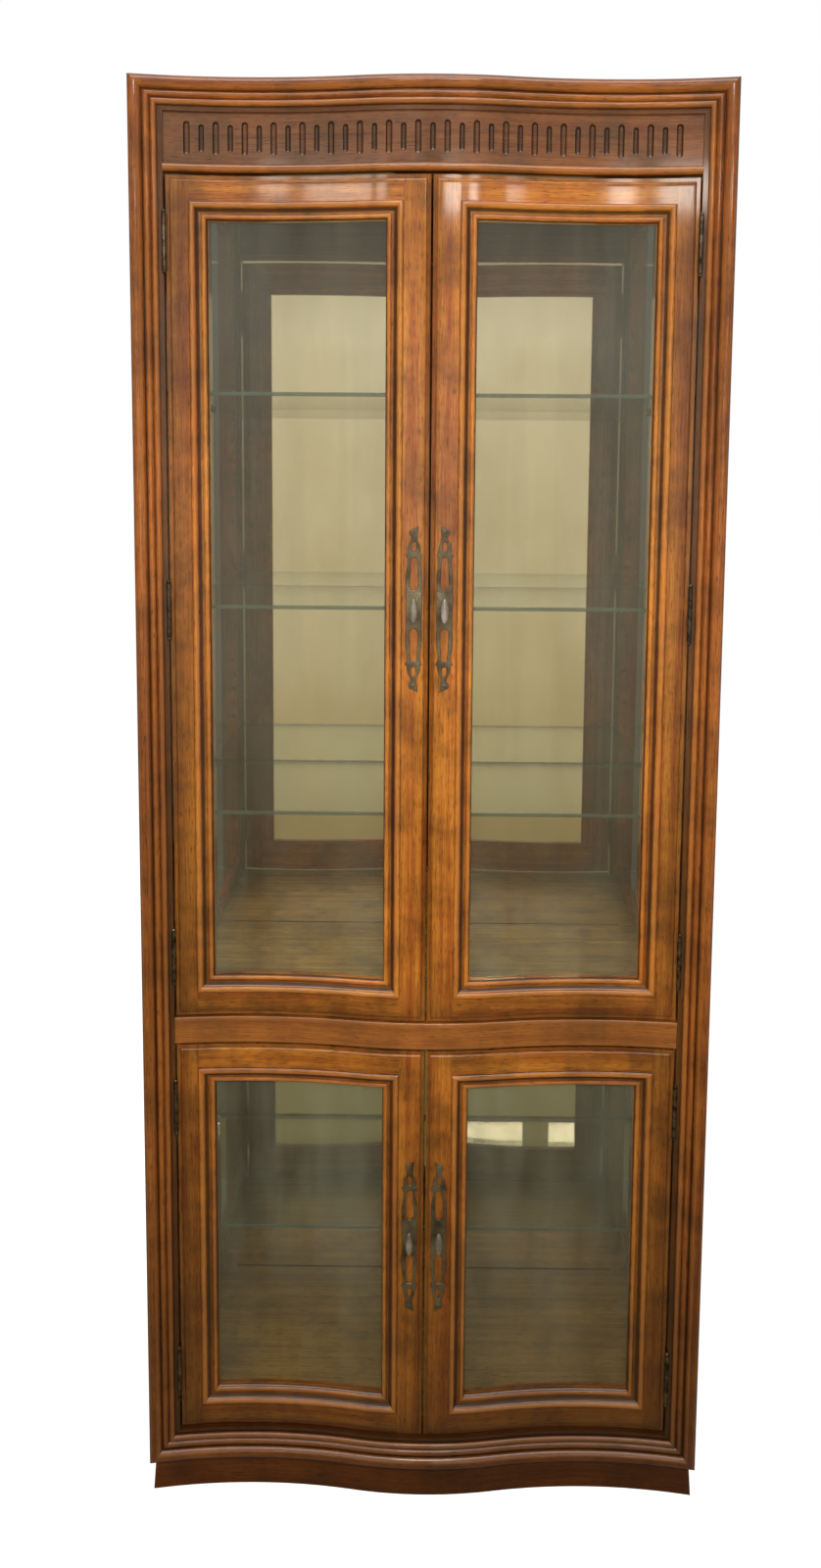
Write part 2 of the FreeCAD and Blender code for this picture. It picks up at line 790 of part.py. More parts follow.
def write_front():
    """Write the picture-frame moulding, frieze, mid rail and plinth."""
    heights = (hinge_heights(upper_door_foot, upper_door_top, 3)
               + hinge_heights(lower_door_foot, lower_door_top, 2))
    screws = [screw for z in heights for screw in hinge_screws(z)[0]]
    pilots = [pilot for z in heights for pilot in hinge_screws(z, running_gap)[0]]
    upper, lower, left, right = [
        trimmed_back(piece, case_front)
        for piece in mitred_frame(frame_outline(), frame_width, -half_width, half_width,
                                  plinth_height, height)]
    save("frame_moulding_top", upper)
    save("frame_moulding_bottom", lower)
    save("frame_moulding_left", left.cut([mirrored(pilot) for pilot in pilots]))
    save("frame_moulding_right", right.cut(pilots))
    save("hinge_frame_screws", *screws, *[mirrored(screw) for screw in screws])
    save("frieze_panel", frieze_panel())
    save("frieze_bead", frieze_bead())
    save("mid_rail", mid_rail())
    save("plinth_front", plinth_front())
    save("plinth_returns", *plinth_returns())


def write_case():
    """Write the sides, top, floors, back, mirrors, shelves and shelf pins."""
    bars, panes = side_frame()
    save("side_frame_right", *bars)
    save("side_frame_left", *[mirrored(bar) for bar in bars])
    save("side_glass", *panes, *[mirrored(pane) for pane in panes])
    save("top_panel", box(-side_outer, side_outer, case_front, case_back, side_top, height))
    save("upper_floor", floor_board(upper_floor_top, case_front))
    save("lower_floor", floor_board(lower_floor_top, case_front))
    save("back_panel", back_board())
    save("back_mirrors", *mirrors())
    names = ("upper_shelf_top", "upper_shelf_middle", "upper_shelf_bottom", "lower_shelf")
    for name, level in zip(names, shelf_levels()):
        save(name, glass_shelf(level))
    save("shelf_pins", *shelf_pins())


def write_doors():
    """Write the four doors, and the hinge pieces and catches that stay on the case."""
    frame_leaves = []
    pins = []
    catches = []
    for level, foot, top, count, pull_raise in (
            ("upper", upper_door_foot, upper_door_top, 3, upper_pull_raise),
            ("lower", lower_door_foot, lower_door_top, 2, lower_pull_raise)):
        for side in ("left", "right"):
            leaves, door_pins, catch = write_door(
                level + "_" + side + "_door", side, foot, top, count, pull_raise)
            frame_leaves += leaves
            pins += door_pins
            catches.append(catch)
    save("hinge_frame_leaves", *frame_leaves)
    save("hinge_pins", *pins)
    save("magnet_catches", *catches)


os.makedirs("parts", exist_ok=True)
write_front()
write_case()
write_doors()
print("hinge pins at x", hinge_x, "and y", hinge_axis_y())
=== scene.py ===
"""The looks of a serpentine display cabinet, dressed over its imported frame.

The cabinet is stained hardwood under a clear lacquer, with bent glass in four doors, brass
pull plates, bronze hinges, glass shelves and mirrored backs. Lengths are in metres, except
in the profiles, whose points are in millimetres until they are sampled.
"""

import bmesh
import bpy
import numpy as np
from bpy.props import FloatProperty, FloatVectorProperty, PointerProperty
from mathutils import Matrix, Vector
from typing import NamedTuple


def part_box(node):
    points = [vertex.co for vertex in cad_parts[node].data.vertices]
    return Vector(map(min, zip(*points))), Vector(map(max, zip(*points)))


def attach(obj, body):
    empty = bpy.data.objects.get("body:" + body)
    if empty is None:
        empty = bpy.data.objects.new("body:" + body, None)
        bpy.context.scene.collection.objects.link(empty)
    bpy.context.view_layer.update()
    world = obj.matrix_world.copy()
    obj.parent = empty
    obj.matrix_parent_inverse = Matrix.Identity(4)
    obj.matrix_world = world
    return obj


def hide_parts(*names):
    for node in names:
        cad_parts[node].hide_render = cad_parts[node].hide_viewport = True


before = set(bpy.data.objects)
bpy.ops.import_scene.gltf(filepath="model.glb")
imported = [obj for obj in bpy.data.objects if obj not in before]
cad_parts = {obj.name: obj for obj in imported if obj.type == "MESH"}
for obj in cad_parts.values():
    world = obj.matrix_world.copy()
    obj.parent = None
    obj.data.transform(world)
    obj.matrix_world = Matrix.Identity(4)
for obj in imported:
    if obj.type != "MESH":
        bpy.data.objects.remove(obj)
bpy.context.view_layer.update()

bl_info = {
    "name": "Serpentine Display Cabinet",
    "version": (1, 0, 0),
    "blender": (4, 5, 0),
    "location": "View3D > Sidebar > Cabinet",
    "description": "Dresses a display cabinet: carcase, doors, glass, brassware and stage",
    "category": "Object",
}

MM = 0.001

# Sizes read from the frame
CASE_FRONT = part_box("upper_floor")[0].y
FRAME_LOW, FRAME_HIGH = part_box("frame_moulding_top")
FRIEZE_LOW, FRIEZE_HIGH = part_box("frieze_panel")
WIDTH, HEIGHT = FRAME_HIGH.x - FRAME_LOW.x, FRAME_HIGH.z
BASE_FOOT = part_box("frame_moulding_bottom")[0].z

# The serpentine line
FRAME_BACK = 22.0*MM
BULGE = 18.0*MM
VALLEY_PLACE_SHARE = 0.3
VALLEY_ARC_SHARE = 0.572
FACE_Y = CASE_FRONT - FRAME_BACK
VALLEY_X = VALLEY_PLACE_SHARE*WIDTH
RADIUS_SUM = (VALLEY_X**2 + BULGE**2)/(2*BULGE)
VALLEY_RADIUS = VALLEY_ARC_SHARE*RADIUS_SUM
CROWN_RADIUS = RADIUS_SUM - VALLEY_RADIUS
JOIN_X = VALLEY_X*CROWN_RADIUS/RADIUS_SUM

# Doors: name, the sign of their side, and the number that tells their timber apart
DOORS = (("upper_left", -1, 11.0), ("upper_right", 1, 17.0),
         ("lower_left", -1, 23.0), ("lower_right", 1, 31.0))
DOOR_THICKNESS = 18.0*MM
GLAZING_WIDTH = 24.0*MM
GLAZING_DEPTH = 11.7*MM

# Just past the start of the frame's inner quirk; beyond it the quirk and lip are painted
# dark, partly glaze and partly painted shade in the gap beside the doors
FRAME_QUIRK = 36.9*MM


def linear(hex_colour):
    """An sRGB hex colour as linear red, green and blue.

    Below 0.04045 a channel is divided by 12.92, and above it is (c + 0.055)/1.055 to the
    power of 2.4.
    """
    channels = np.array([int(hex_colour[i:i + 2], 16)/255 for i in (1, 3, 5)])
    curve = ((channels + 0.055)/1.055)**2.4
    return tuple(float(c) for c in np.where(channels <= 0.04045, channels/12.92, curve))


def colour(label, text, hex_colour):
    """A colour property, whose default is an sRGB hex value."""
    return FloatVectorProperty(name=label, description=text, subtype="COLOR", size=3,
                               min=0, max=1, default=linear(hex_colour))


def number(label, text, default, **kind):
    """A number property."""
    return FloatProperty(name=label, description=text, default=default, **kind)


def size(label, text, millimetres):
    """A length property, whose default is given in millimetres."""
    return number(label, text, millimetres*MM, min=0, unit="LENGTH", subtype="DISTANCE")


def angle(label, text, degrees):
    """An angle property, whose default is given in degrees."""
    return number(label, text, np.radians(degrees), subtype="ANGLE")


def power(label, text, watts):
    """A lamp's power property."""
    return number(label, text, watts, min=0, unit="POWER")


class CabinetSizes(bpy.types.PropertyGroup):
    """Small sizes that a maker would choose for the finished surfaces."""
    row_pitch: size("Row pitch", "Distance between rows of points along a moulding", 8)
    profile_pitch: size("Profile pitch", "Distance between points round a profile", 0.9)
    joint: size("Joint", "Half the open line at a mitre or a shoulder", 0.08)
    ease: size("Eased edge", "Radius of the sanded edges of plain boards", 1.2)
    relief_reach: size("Relief reach", "How far round a point its hollows are judged", 5)
    relief_depth: size("Relief depth", "Height that counts as a full crest or hollow", 2.2)
    plate_round: size("Plate round", "Rounding of the pull plates' edges", 1.1)
    nail_radius: size("Nail radius", "Radius of the pull plates' nail heads", 2.3)
    mirror_bevel: size("Mirror bevel", "Width of the bevel round a mirror", 14)
    mirror_fall: size("Mirror fall", "How far a mirror thins at its edge", 0.5)
    glass_ease: size("Glass ease", "Radius of the polished edges of a shelf", 1.0)


class CabinetFinishes(bpy.types.PropertyGroup):
    """Colours of the cabinet's finishes."""
    # Each stain's smoke colour is toner sprayed in clouds, and is also laid on towards the foot
    # as painted shade
    door_light: colour("Door stain, light", "Early wood of the doors", "#e4912f")
    door_dark: colour("Door stain, dark", "Late wood of the doors", "#ad5215")
    door_smoke: colour("Door smoke", "Toner sprayed in clouds on the doors", "#4d280d")
    frame_light: colour("Frame stain, light", "Early wood of the mouldings", "#b86c27")
    frame_dark: colour("Frame stain, dark", "Late wood of the mouldings", "#803b10")
    frame_smoke: colour("Frame smoke", "Toner sprayed in clouds on the mouldings", "#44220c")
    frieze_light: colour("Frieze stain, light", "Early wood of the frieze", "#8a542e")
    frieze_dark: colour("Frieze stain, dark", "Late wood of the frieze", "#643418")
    frieze_smoke: colour("Frieze smoke", "Toner sprayed in clouds on the frieze", "#40301f")
    plinth_light: colour("Plinth stain, light", "Early wood of the plinth", "#944f12")
    plinth_dark: colour("Plinth stain, dark", "Late wood of the plinth", "#642f07")
    plinth_smoke: colour("Plinth smoke", "Toner sprayed in clouds on the plinth", "#3a1e05")
    floor_light: colour("Floor, light", "Early wood of the inner floors", "#dcaa58")
    floor_dark: colour("Floor, dark", "Late wood of the inner floors", "#a67b3a")
    floor_smoke: colour("Floor smoke", "Wear on the inner floors", "#583818")
    glaze: colour("Glaze", "Dark glaze left in grooves", "#1d0f06")
    # The rubbed crest colour is partly rubbed wear and partly a painted highlight on the crests
    rubbed: colour("Rubbed crest", "Stain rubbed thin on crests", "#c07f42")
    board_light: colour("Back board, light", "Pale fibres of the back board", "#a9855c")
    board_dark: colour("Back board, dark", "Dark fibres of the back board", "#7d5c39")
    brass: colour("Antique brass", "Polished parts of the pull plates", "#7b6e55")
    brass_patina: colour("Brass patina", "Tarnish on the pull plates", "#463c2b")
    knob: colour("Knob", "Burnished brass of the knobs", "#b2a797")
    knob_patina: colour("Knob patina", "Tarnish on the knobs", "#685b47")
    bronze: colour("Bronze", "Hinges and screws", "#857a69")
    bronze_dark: colour("Bronze, dark", "Oxide on hinges and screws", "#33291f")
    nickel: colour("Nickel", "Shelf pins", "#c9c5bc")
    catch: colour("Catch", "Moulded catch bodies", "#2a221c")
    mirror: colour("Mirror", "Silver behind the glass", "#e3d9c3")
    mirror_age: colour("Mirror age", "Aged patches of the mirrors", "#d6c9ad")
    window: colour("Window glass", "Glass of the doors and sides", "#fbfcfa")
    dust: colour("Dust", "Dust on the glass", "#a6a890")
    shelf_glass: colour("Shelf glass", "Glass of the shelves", "#eef3ec")
    shelf_edge: colour("Shelf edge", "Green gathered in the shelves' edges", "#3d4a3f")


class StudioSettings(bpy.types.PropertyGroup):
    """The camera, the lights and the floor."""
    lens: number("Lens", "Focal length in millimetres", 26.398, min=1)
    camera_side: size("Camera side", "Camera's place to the right of the middle", 1.4)
    camera_back: size("Camera distance", "Camera's distance in front of the doors", 1614)
    camera_height: size("Camera height", "Camera's height over the floor", 1521.7)
    turn: angle("Turn", "Turn to the right", -0.33)
    tip: angle("Tip", "Tip downwards", 5.629)
    roll: angle("Roll", "Roll of the camera", 0.445)
    shift_x: number("Shift across", "Lens shift, in widths", -0.00834)
    shift_y: number("Shift up", "Lens shift, in widths", -0.12143)
    key_power: power("Key lamp", "Power of the key lamp", 24)
    fill_power: power("Fill lamp", "Power of the fill lamp", 6)
    front_power: power("Front lamp", "Power of the front lamp", 15)
    rear_power: power("Rear lamps", "Power of each rear lamp", 22)
    sky: number("Sky", "Strength of the even light", 0.25, min=0)
    floor_seen: colour("Floor, seen", "The floor as the camera sees it", "#f2efe9")
    floor_dull: colour("Floor, dull", "The floor as it lights the cabinet", "#a59d90")


class Shell(NamedTuple):
    """One closed surface: its points, its faces by corner numbers, and what its finish reads."""
    points: np.ndarray
    faces: list
    grain: np.ndarray
    relief: np.ndarray


def grid(x, y, z):
    """Points, or other sets of three, from arrays or numbers that broadcast together."""
    return np.stack(np.broadcast_arrays(x, y, z), axis=-1)


def lines(low, high, pitch):
    """Evenly spaced lines from low to high, no further apart than pitch."""
    return np.linspace(low, high, max(2, int(np.ceil((high - low)/pitch)) + 1))


def lead(x):
    """How far the front stands ahead of its two valleys at x.

    The middle is a convex arc, crown_radius about a centre on the middle plane, and each side
    is a concave arc, valley_radius about a centre in front of its valley. They meet, tangent,
    at join_x.
    """
    away = np.abs(x)
    crown = BULGE - CROWN_RADIUS + np.sqrt(CROWN_RADIUS**2 - away**2)
    valley = VALLEY_RADIUS - np.sqrt(VALLEY_RADIUS**2 - (away - VALLEY_X)**2)
    return np.where(away <= JOIN_X, crown, valley)


def front(x, stand):
    """The y of a surface that stands out from the doors' face by stand."""
    return FACE_Y - lead(x) - stand


def level_front(stand):
    """The front at one stand all over, as a function of x and z."""
    return lambda x, z: front(x, stand)


def arc(start, through, end, pitch):
    """Points after start on the arc through three points, about pitch apart.

    The centre is where the perpendicular bisectors of the two chords cross.
    """
    a, b = through - start, end - start
    twice = 2*(a[0]*b[1] - a[1]*b[0])
    centre = start + np.array([b[1]*(a@a) - a[1]*(b@b), a[0]*(b@b) - b[0]*(a@a)])/twice
    first, last = [np.arctan2(*(p - centre)[::-1]) for p in (start, end)]
    turn = (last - first) % (2*np.pi) if twice > 0 else -((first - last) % (2*np.pi))
    radius = np.linalg.norm(start - centre)
    angles = first + turn*np.linspace(0, 1, int(radius*abs(turn)/pitch) + 4)[1:]
    return centre + radius*np.stack([np.cos(angles), np.sin(angles)], axis=1)


def outline(steps, back, pitch):
    """A closed profile in metres from steps in millimetres.

    Each step is a point, or a point passed through and an end point. Straight stretches are
    divided so that no piece is longer than pitch. The back points close the profile.
    """
    pieces = [np.array([steps[0][0]], float)]
    for step in steps[1:]:
        here, end = pieces[-1][-1], np.array(step[-1], float)
        if len(step) == 1:
            count = max(1, int(np.ceil(np.linalg.norm(end - here)/pitch)))
            pieces.append(here + np.linspace(0, 1, count + 1)[1:, None]*(end - here))
        else:
            pieces.append(arc(here, np.array(step[0], float), end, pitch))
    return np.concatenate(pieces + [np.array(back, float)])*MM


def frame_profile(pitch):
    """Big round, quirk, two beads with a line between them, inner quirk and lip."""
    big_round, quirk, bead, line, inner_quirk, lip = 18.0, 1.5, 8.2, 0.8, 2.6, 4.7
    start, crest, end = 6.0, 15.0, 7.5
    first_foot, first_crest, second_foot, second_crest, lip_stand = 5.8, 9.0, 4.2, 7.6, 2.5
    side = quirk/4
    first = big_round + quirk
    second = first + bead + line
    inner = second + bead
    wide = inner + inner_quirk + lip
    steps = [
        ((0, start),),
        ((big_round/2, crest), (big_round, end)),
        ((big_round + side, first_foot),),
        ((first - side, first_foot),),
        ((first + bead/2, first_crest), (first + bead, first_foot)),
        ((second, first_foot - line),),
        ((second + bead/2, second_crest), (inner, second_foot)),
        ((inner, 0),),
        ((inner + inner_quirk, 0),),
        ((inner + inner_quirk, lip_stand),),
        ((wide, lip_stand),),
    ]
    return outline(steps, [(wide, -np.inf), (0, -np.inf)], pitch)


def glazing_profile(pitch):
    """Bead, cove, small bead and lip, from the moulding's outer edge inwards."""
    wide, depth = GLAZING_WIDTH/MM, GLAZING_DEPTH/MM
    stand, cove, small_bead, lip = 4.6, 3.0, 1.8, 6.0
    bead, cove_middle, cove_end, lip_start = [wide*share for share in (0.33, 0.45, 0.68, 0.96)]
    steps = [
        ((0, stand/2),),
        ((bead/2, stand), (bead, stand/2)),
        ((bead, stand/4),),
        ((cove_middle, stand/4 - cove), (cove_end, -cove)),
        (((cove_end + lip_start)/2, small_bead - cove), (lip_start, -(lip + cove)/2)),
        ((wide, -lip),),
    ]
    return outline(steps, [(wide, -depth), (0, -depth)], pitch)


def profile_relief(section, sizes, hollows=1.0, crests=1.0, shaded_from=np.inf):
    """How much each point of a profile is a crest, up to 1, or a hollow, down to -1.

    It is the point's stand less the mean stand within relief_reach, over relief_depth, times
    hollows where that is below zero and times crests above. What lies further in than
    shaded_from is set to a deep hollow, so that it is painted dark: partly glaze, and partly
    painted shade in the gap beside the doors. The last two points are the back and count as
    level.
    """
    deep_hollow = -0.85
    u, stand = section[:-2].T
    near = np.abs(u[:, None] - u[None, :]) < sizes.relief_reach
    mean = near@stand/near.sum(axis=1)
    relief = (stand - mean)/sizes.relief_depth
    relief = np.clip(np.where(relief < 0, hollows, crests)*relief, -1, 1)
    return np.append(np.where(u > shaded_from, deep_hollow, relief), [0, 0])


def run_lengths(section):
    """Distance of each profile point from the first one, measured along the profile.

    The last two points are the back, and lie a flank's depth of about 30 mm off each end.
    """
    flank = 30.0*MM
    steps = np.linalg.norm(np.diff(section[:-2], axis=0), axis=1)
    run = np.concatenate([[0], np.cumsum(steps)])
    return np.append(run, [run[-1] + flank, -flank])


def grid_faces(rows, cols, closed):
    """Corner numbers of a grid's squares, whose columns meet again if closed."""
    r = np.arange(rows - 1)[:, None]
    c = np.arange(cols if closed else cols - 1)[None, :]
    d = (c + 1) % cols
    corners = [r*cols + c, r*cols + d, (r + 1)*cols + d, (r + 1)*cols + c]
    return np.stack(np.broadcast_arrays(*corners), axis=-1).reshape(-1, 4)


def outward(shell):
    """The shell with its faces turned outwards.

    Its volume is a sixth of the sum, over the triangles that fan out from each face's first
    corner, of the first corner dotted with the cross product of the other two. Where that is
    below zero, every face is reversed.
    """
    total = 0.0
    for corners in shell.faces:
        fan = np.cross(shell.points[corners[:, 1:-1]], shell.points[corners[:, 2:]])
        total += (shell.points[corners[:, :1]]*fan).sum()
    if total >= 0:
        return shell
    return shell._replace(faces=[corners[:, ::-1] for corners in shell.faces])


def tube(points, grain, relief):
    """A closed shell from rows of loops, with a cap on the first and the last loop."""
    rows, cols = points.shape[:2]
    loop = np.arange(cols)[None, :]
    faces = [grid_faces(rows, cols, True), loop[:, ::-1], loop + (rows - 1)*cols]
    relief = np.broadcast_to(relief, (rows, cols))
    return outward(Shell(points.reshape(-1, 3), faces, grain.reshape(-1, 3), relief.ravel()))


def moulding(section, relief, edge, corners, seed, sizes, mitred=True):
    """One length of moulding along the serpentine front.

    The profile's first number u is counted inwards from the frame's outer edge and its second
    stands out from the doors' face. Along the top and the foot, x runs from left + u to
    right - u, and along the two sides z runs from foot + u to top - u, so that the ends are
    mitred. Without mitres, u is left out there. The back is the case's flat front.
    """
    left, right, foot, top = corners
    u, stand = section.T
    trim = (u if mitred else 0*u) + sizes.joint
    level = edge in ("top", "foot")
    low, high = (left, right) if level else (foot, top)
    share = np.linspace(0, 1, int((high - low)/sizes.row_pitch) + 2)[:, None]
    along = (low + trim) + share*(high - low - 2*trim)
    across = {"top": top - u, "foot": foot + u, "left": left + u, "right": right - u}[edge]
    x, z = (along, across) if level else (across, along)
    y = np.minimum(front(x, stand), CASE_FRONT)
    return tube(grid(x, y, z), grid(along, run_lengths(section), seed), relief)


def board(x_lines, z_lines, y_front, y_back, upright, seed, relief=None):
    """A board between two surfaces y_front(x, z) and y_back(x, z) over a grid of lines.

    Each row of points goes across the front and returns across the back. Rows are stacked
    along the grain, which is Z if upright and X otherwise.
    """
    rows, cols = (z_lines, x_lines) if upright else (x_lines, z_lines)
    along, across = np.meshgrid(rows, cols, indexing="ij")
    x, z = (across, along) if upright else (along, across)
    fore, aft = [grid(x, surface(x, z), z) for surface in (y_front, y_back)]
    grain = grid(along, across, seed)
    height = 0*x if relief is None else relief(x, z)
    return tube(np.concatenate([fore, aft[:, ::-1]], axis=1),
                np.concatenate([grain, grain[:, ::-1]], axis=1),
                np.concatenate([height, 0*x], axis=1))


def bar(low, high, axis, ease, seed):
    """A straight bar between two corners, with its long edges rounded.

    Its section is a rectangle whose corners are quarter circles of radius ease, carried
    along the axis. A line lies ease further in on each face, so that the faces stay flat.
    """
    low, high = np.array(low, float), np.array(high, float)
    first, second = [i for i in range(3) if i != axis]
    quarter = np.radians([0, 0, 22.5, 45, 67.5, 90, 90])
    slide = np.tile([-ease, 0, 0, 0, 0, 0, ease], 4)
    turns = np.concatenate([quarter + corner*np.pi/2 for corner in range(4)])
    side = np.repeat([[1, 1], [-1, 1], [-1, -1], [1, -1]], len(quarter), axis=0)
    middle, half = (low + high)/2, (high - low)/2
    rows = np.array([low[axis], low[axis] + ease/2, high[axis] - ease/2, high[axis]])
    inset = np.array([ease/2, 0, 0, ease/2])[:, None]
    points = np.zeros((len(rows), len(turns), 3))
    points[..., axis] = rows[:, None]
    points[..., first] = (middle[first] + side[:, 0]*(half[first] - ease)
                          + np.cos(turns)*(ease - inset) - np.sin(turns)*slide)
    points[..., second] = (middle[second] + side[:, 1]*(half[second] - ease)
                           + np.sin(turns)*(ease - inset) + np.cos(turns)*slide)
    run = np.linspace(0, 2*(half[first] + half[second]), len(turns))
    return tube(points, grid(rows[:, None], run, seed), np.zeros(len(turns)))


def turned(centre, axis, radii, places, sides):
    """A turned solid: circles of the given radii at places along an axis from a centre."""
    angles = np.linspace(0, 2*np.pi, sides, endpoint=False)
    first, second = [i for i in range(3) if i != axis]
    radii, places = np.broadcast_arrays(np.array(radii, float), np.array(places, float))
    points = np.zeros((len(radii), sides, 3)) + np.array(centre, float)
    points[..., first] += radii[:, None]*np.cos(angles)
    points[..., second] += radii[:, None]*np.sin(angles)
    points[..., axis] += places[:, None]
    return tube(points, grid(places[:, None], angles*MM, 0.0), np.zeros(sides))


def piece(name, shells, body, finish, nodes, crease=32, weld=False):
    """Make one object from its shells and let it stand for its CAD nodes.

    Faces within crease degrees of each other are shaded as one smooth surface. Welding
    merges points that coincide, as at a pole, and turns the faces outwards again.
    """
    starts = np.cumsum([0] + [len(shell.points) for shell in shells])
    faces = [corners + start for shell, start in zip(shells, starts)
             for corners in shell.faces]
    counts = np.concatenate([np.full(len(corners), corners.shape[1]) for corners in faces])
    corners = np.concatenate([corners.ravel() for corners in faces])
    mesh = bpy.data.meshes.new(name)
    mesh.vertices.add(starts[-1])
    mesh.vertices.foreach_set("co", np.concatenate([s.points for s in shells]).ravel())
    mesh.loops.add(len(corners))
    mesh.loops.foreach_set("vertex_index", corners)
    mesh.polygons.add(len(counts))
    mesh.polygons.foreach_set("loop_start", np.cumsum(counts) - counts)
    mesh.update(calc_edges=True)
    grain = mesh.attributes.new("grain", "FLOAT_VECTOR", "POINT")
    grain.data.foreach_set("vector", np.concatenate([s.grain for s in shells]).ravel())
    relief = mesh.attributes.new("relief", "FLOAT", "POINT")
    relief.data.foreach_set("value", np.concatenate([s.relief for s in shells]))
    mesh.validate()
    if weld:
        weld_mesh(mesh)
    return dress(name, mesh, crease, body, finish, nodes)


def weld_mesh(mesh):
    """Merge coinciding points and turn the faces outwards."""
    edit = bmesh.new()
    edit.from_mesh(mesh)
    bmesh.ops.remove_doubles(edit, verts=edit.verts, dist=MM/200)
    bmesh.ops.recalc_face_normals(edit, faces=edit.faces)
    edit.to_mesh(mesh)
    edit.free()


def dress(name, mesh, crease, body, finish, nodes):
    """Shade a mesh, make it an object on its body, and hide the nodes that it stands for."""
    mesh.shade_smooth()
    mesh.set_sharp_from_angle(angle=np.radians(crease))
    slot, material = FINISHES[finish]
    mesh.materials.clear()
    mesh.materials.append(bpy.data.materials.get(finish) or material(finish))
    thing = bpy.data.objects.new(name, mesh)
    bpy.context.scene.collection.objects.link(thing)
    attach(thing, body)
    if nodes:
        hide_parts(*nodes)
    return thing


def refinish(node, finish):
    """Give a CAD node that is shown as it is a better material."""
    material = bpy.data.materials.get(finish) or FINISHES[finish][1](finish)
    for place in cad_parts[node].material_slots:
        place.material = material


def add(tree, kind, inputs=(), **settings):
    """Add a node, make its settings, and set each input to a value or link it to a socket."""
    node = tree.nodes.new("ShaderNode" + kind)
    for key, value in settings.items():
        setattr(node, key, value)
    for key, value in dict(inputs).items():
        if isinstance(value, bpy.types.NodeSocket):
            tree.links.new(value, node.inputs[key])
        else:
            node.inputs[key].default_value = value
    return node


def blank(name):
    """A new material with only an output, as its node tree and its surface socket."""
    material = bpy.data.materials.new(name)
    material.use_nodes = True
    tree = material.node_tree
    tree.nodes.clear()
    return material, tree, add(tree, "OutputMaterial").inputs["Surface"]


def rgba(values):
    """A colour of three parts with full opacity."""
    return (*values, 1.0)


def tone(key):
    """One of the finishes' colours."""
    return rgba(getattr(bpy.context.scene.cabinet_finishes, key))


def layered(tree, base, layers):
    """Tones laid over a base colour, one after another.

    Each layer is a value, its start and end, its share there and its tone: the tone's share
    rises evenly from 0 at the start to that share at the end, and is held beyond both.
    """
    for value, start, end, most, over in layers:
        share = add(tree, "MapRange", {0: value, 1: start, 2: end, 4: most}).outputs[0]
        base = add(tree, "Mix", {0: share, 6: base, 7: over}, data_type="RGBA").outputs[2]
    return base


def opaque(tree, surface, height, strength, distance, inputs):
    """Lead a principled shader to the surface, with a bump that height raises by distance."""
    bump = add(tree, "Bump", {"Height": height, "Strength": strength, "Distance": distance})
    shader = add(tree, "BsdfPrincipled", {"Normal": bump.outputs["Normal"], **inputs})
    tree.links.new(shader.outputs[0], surface)


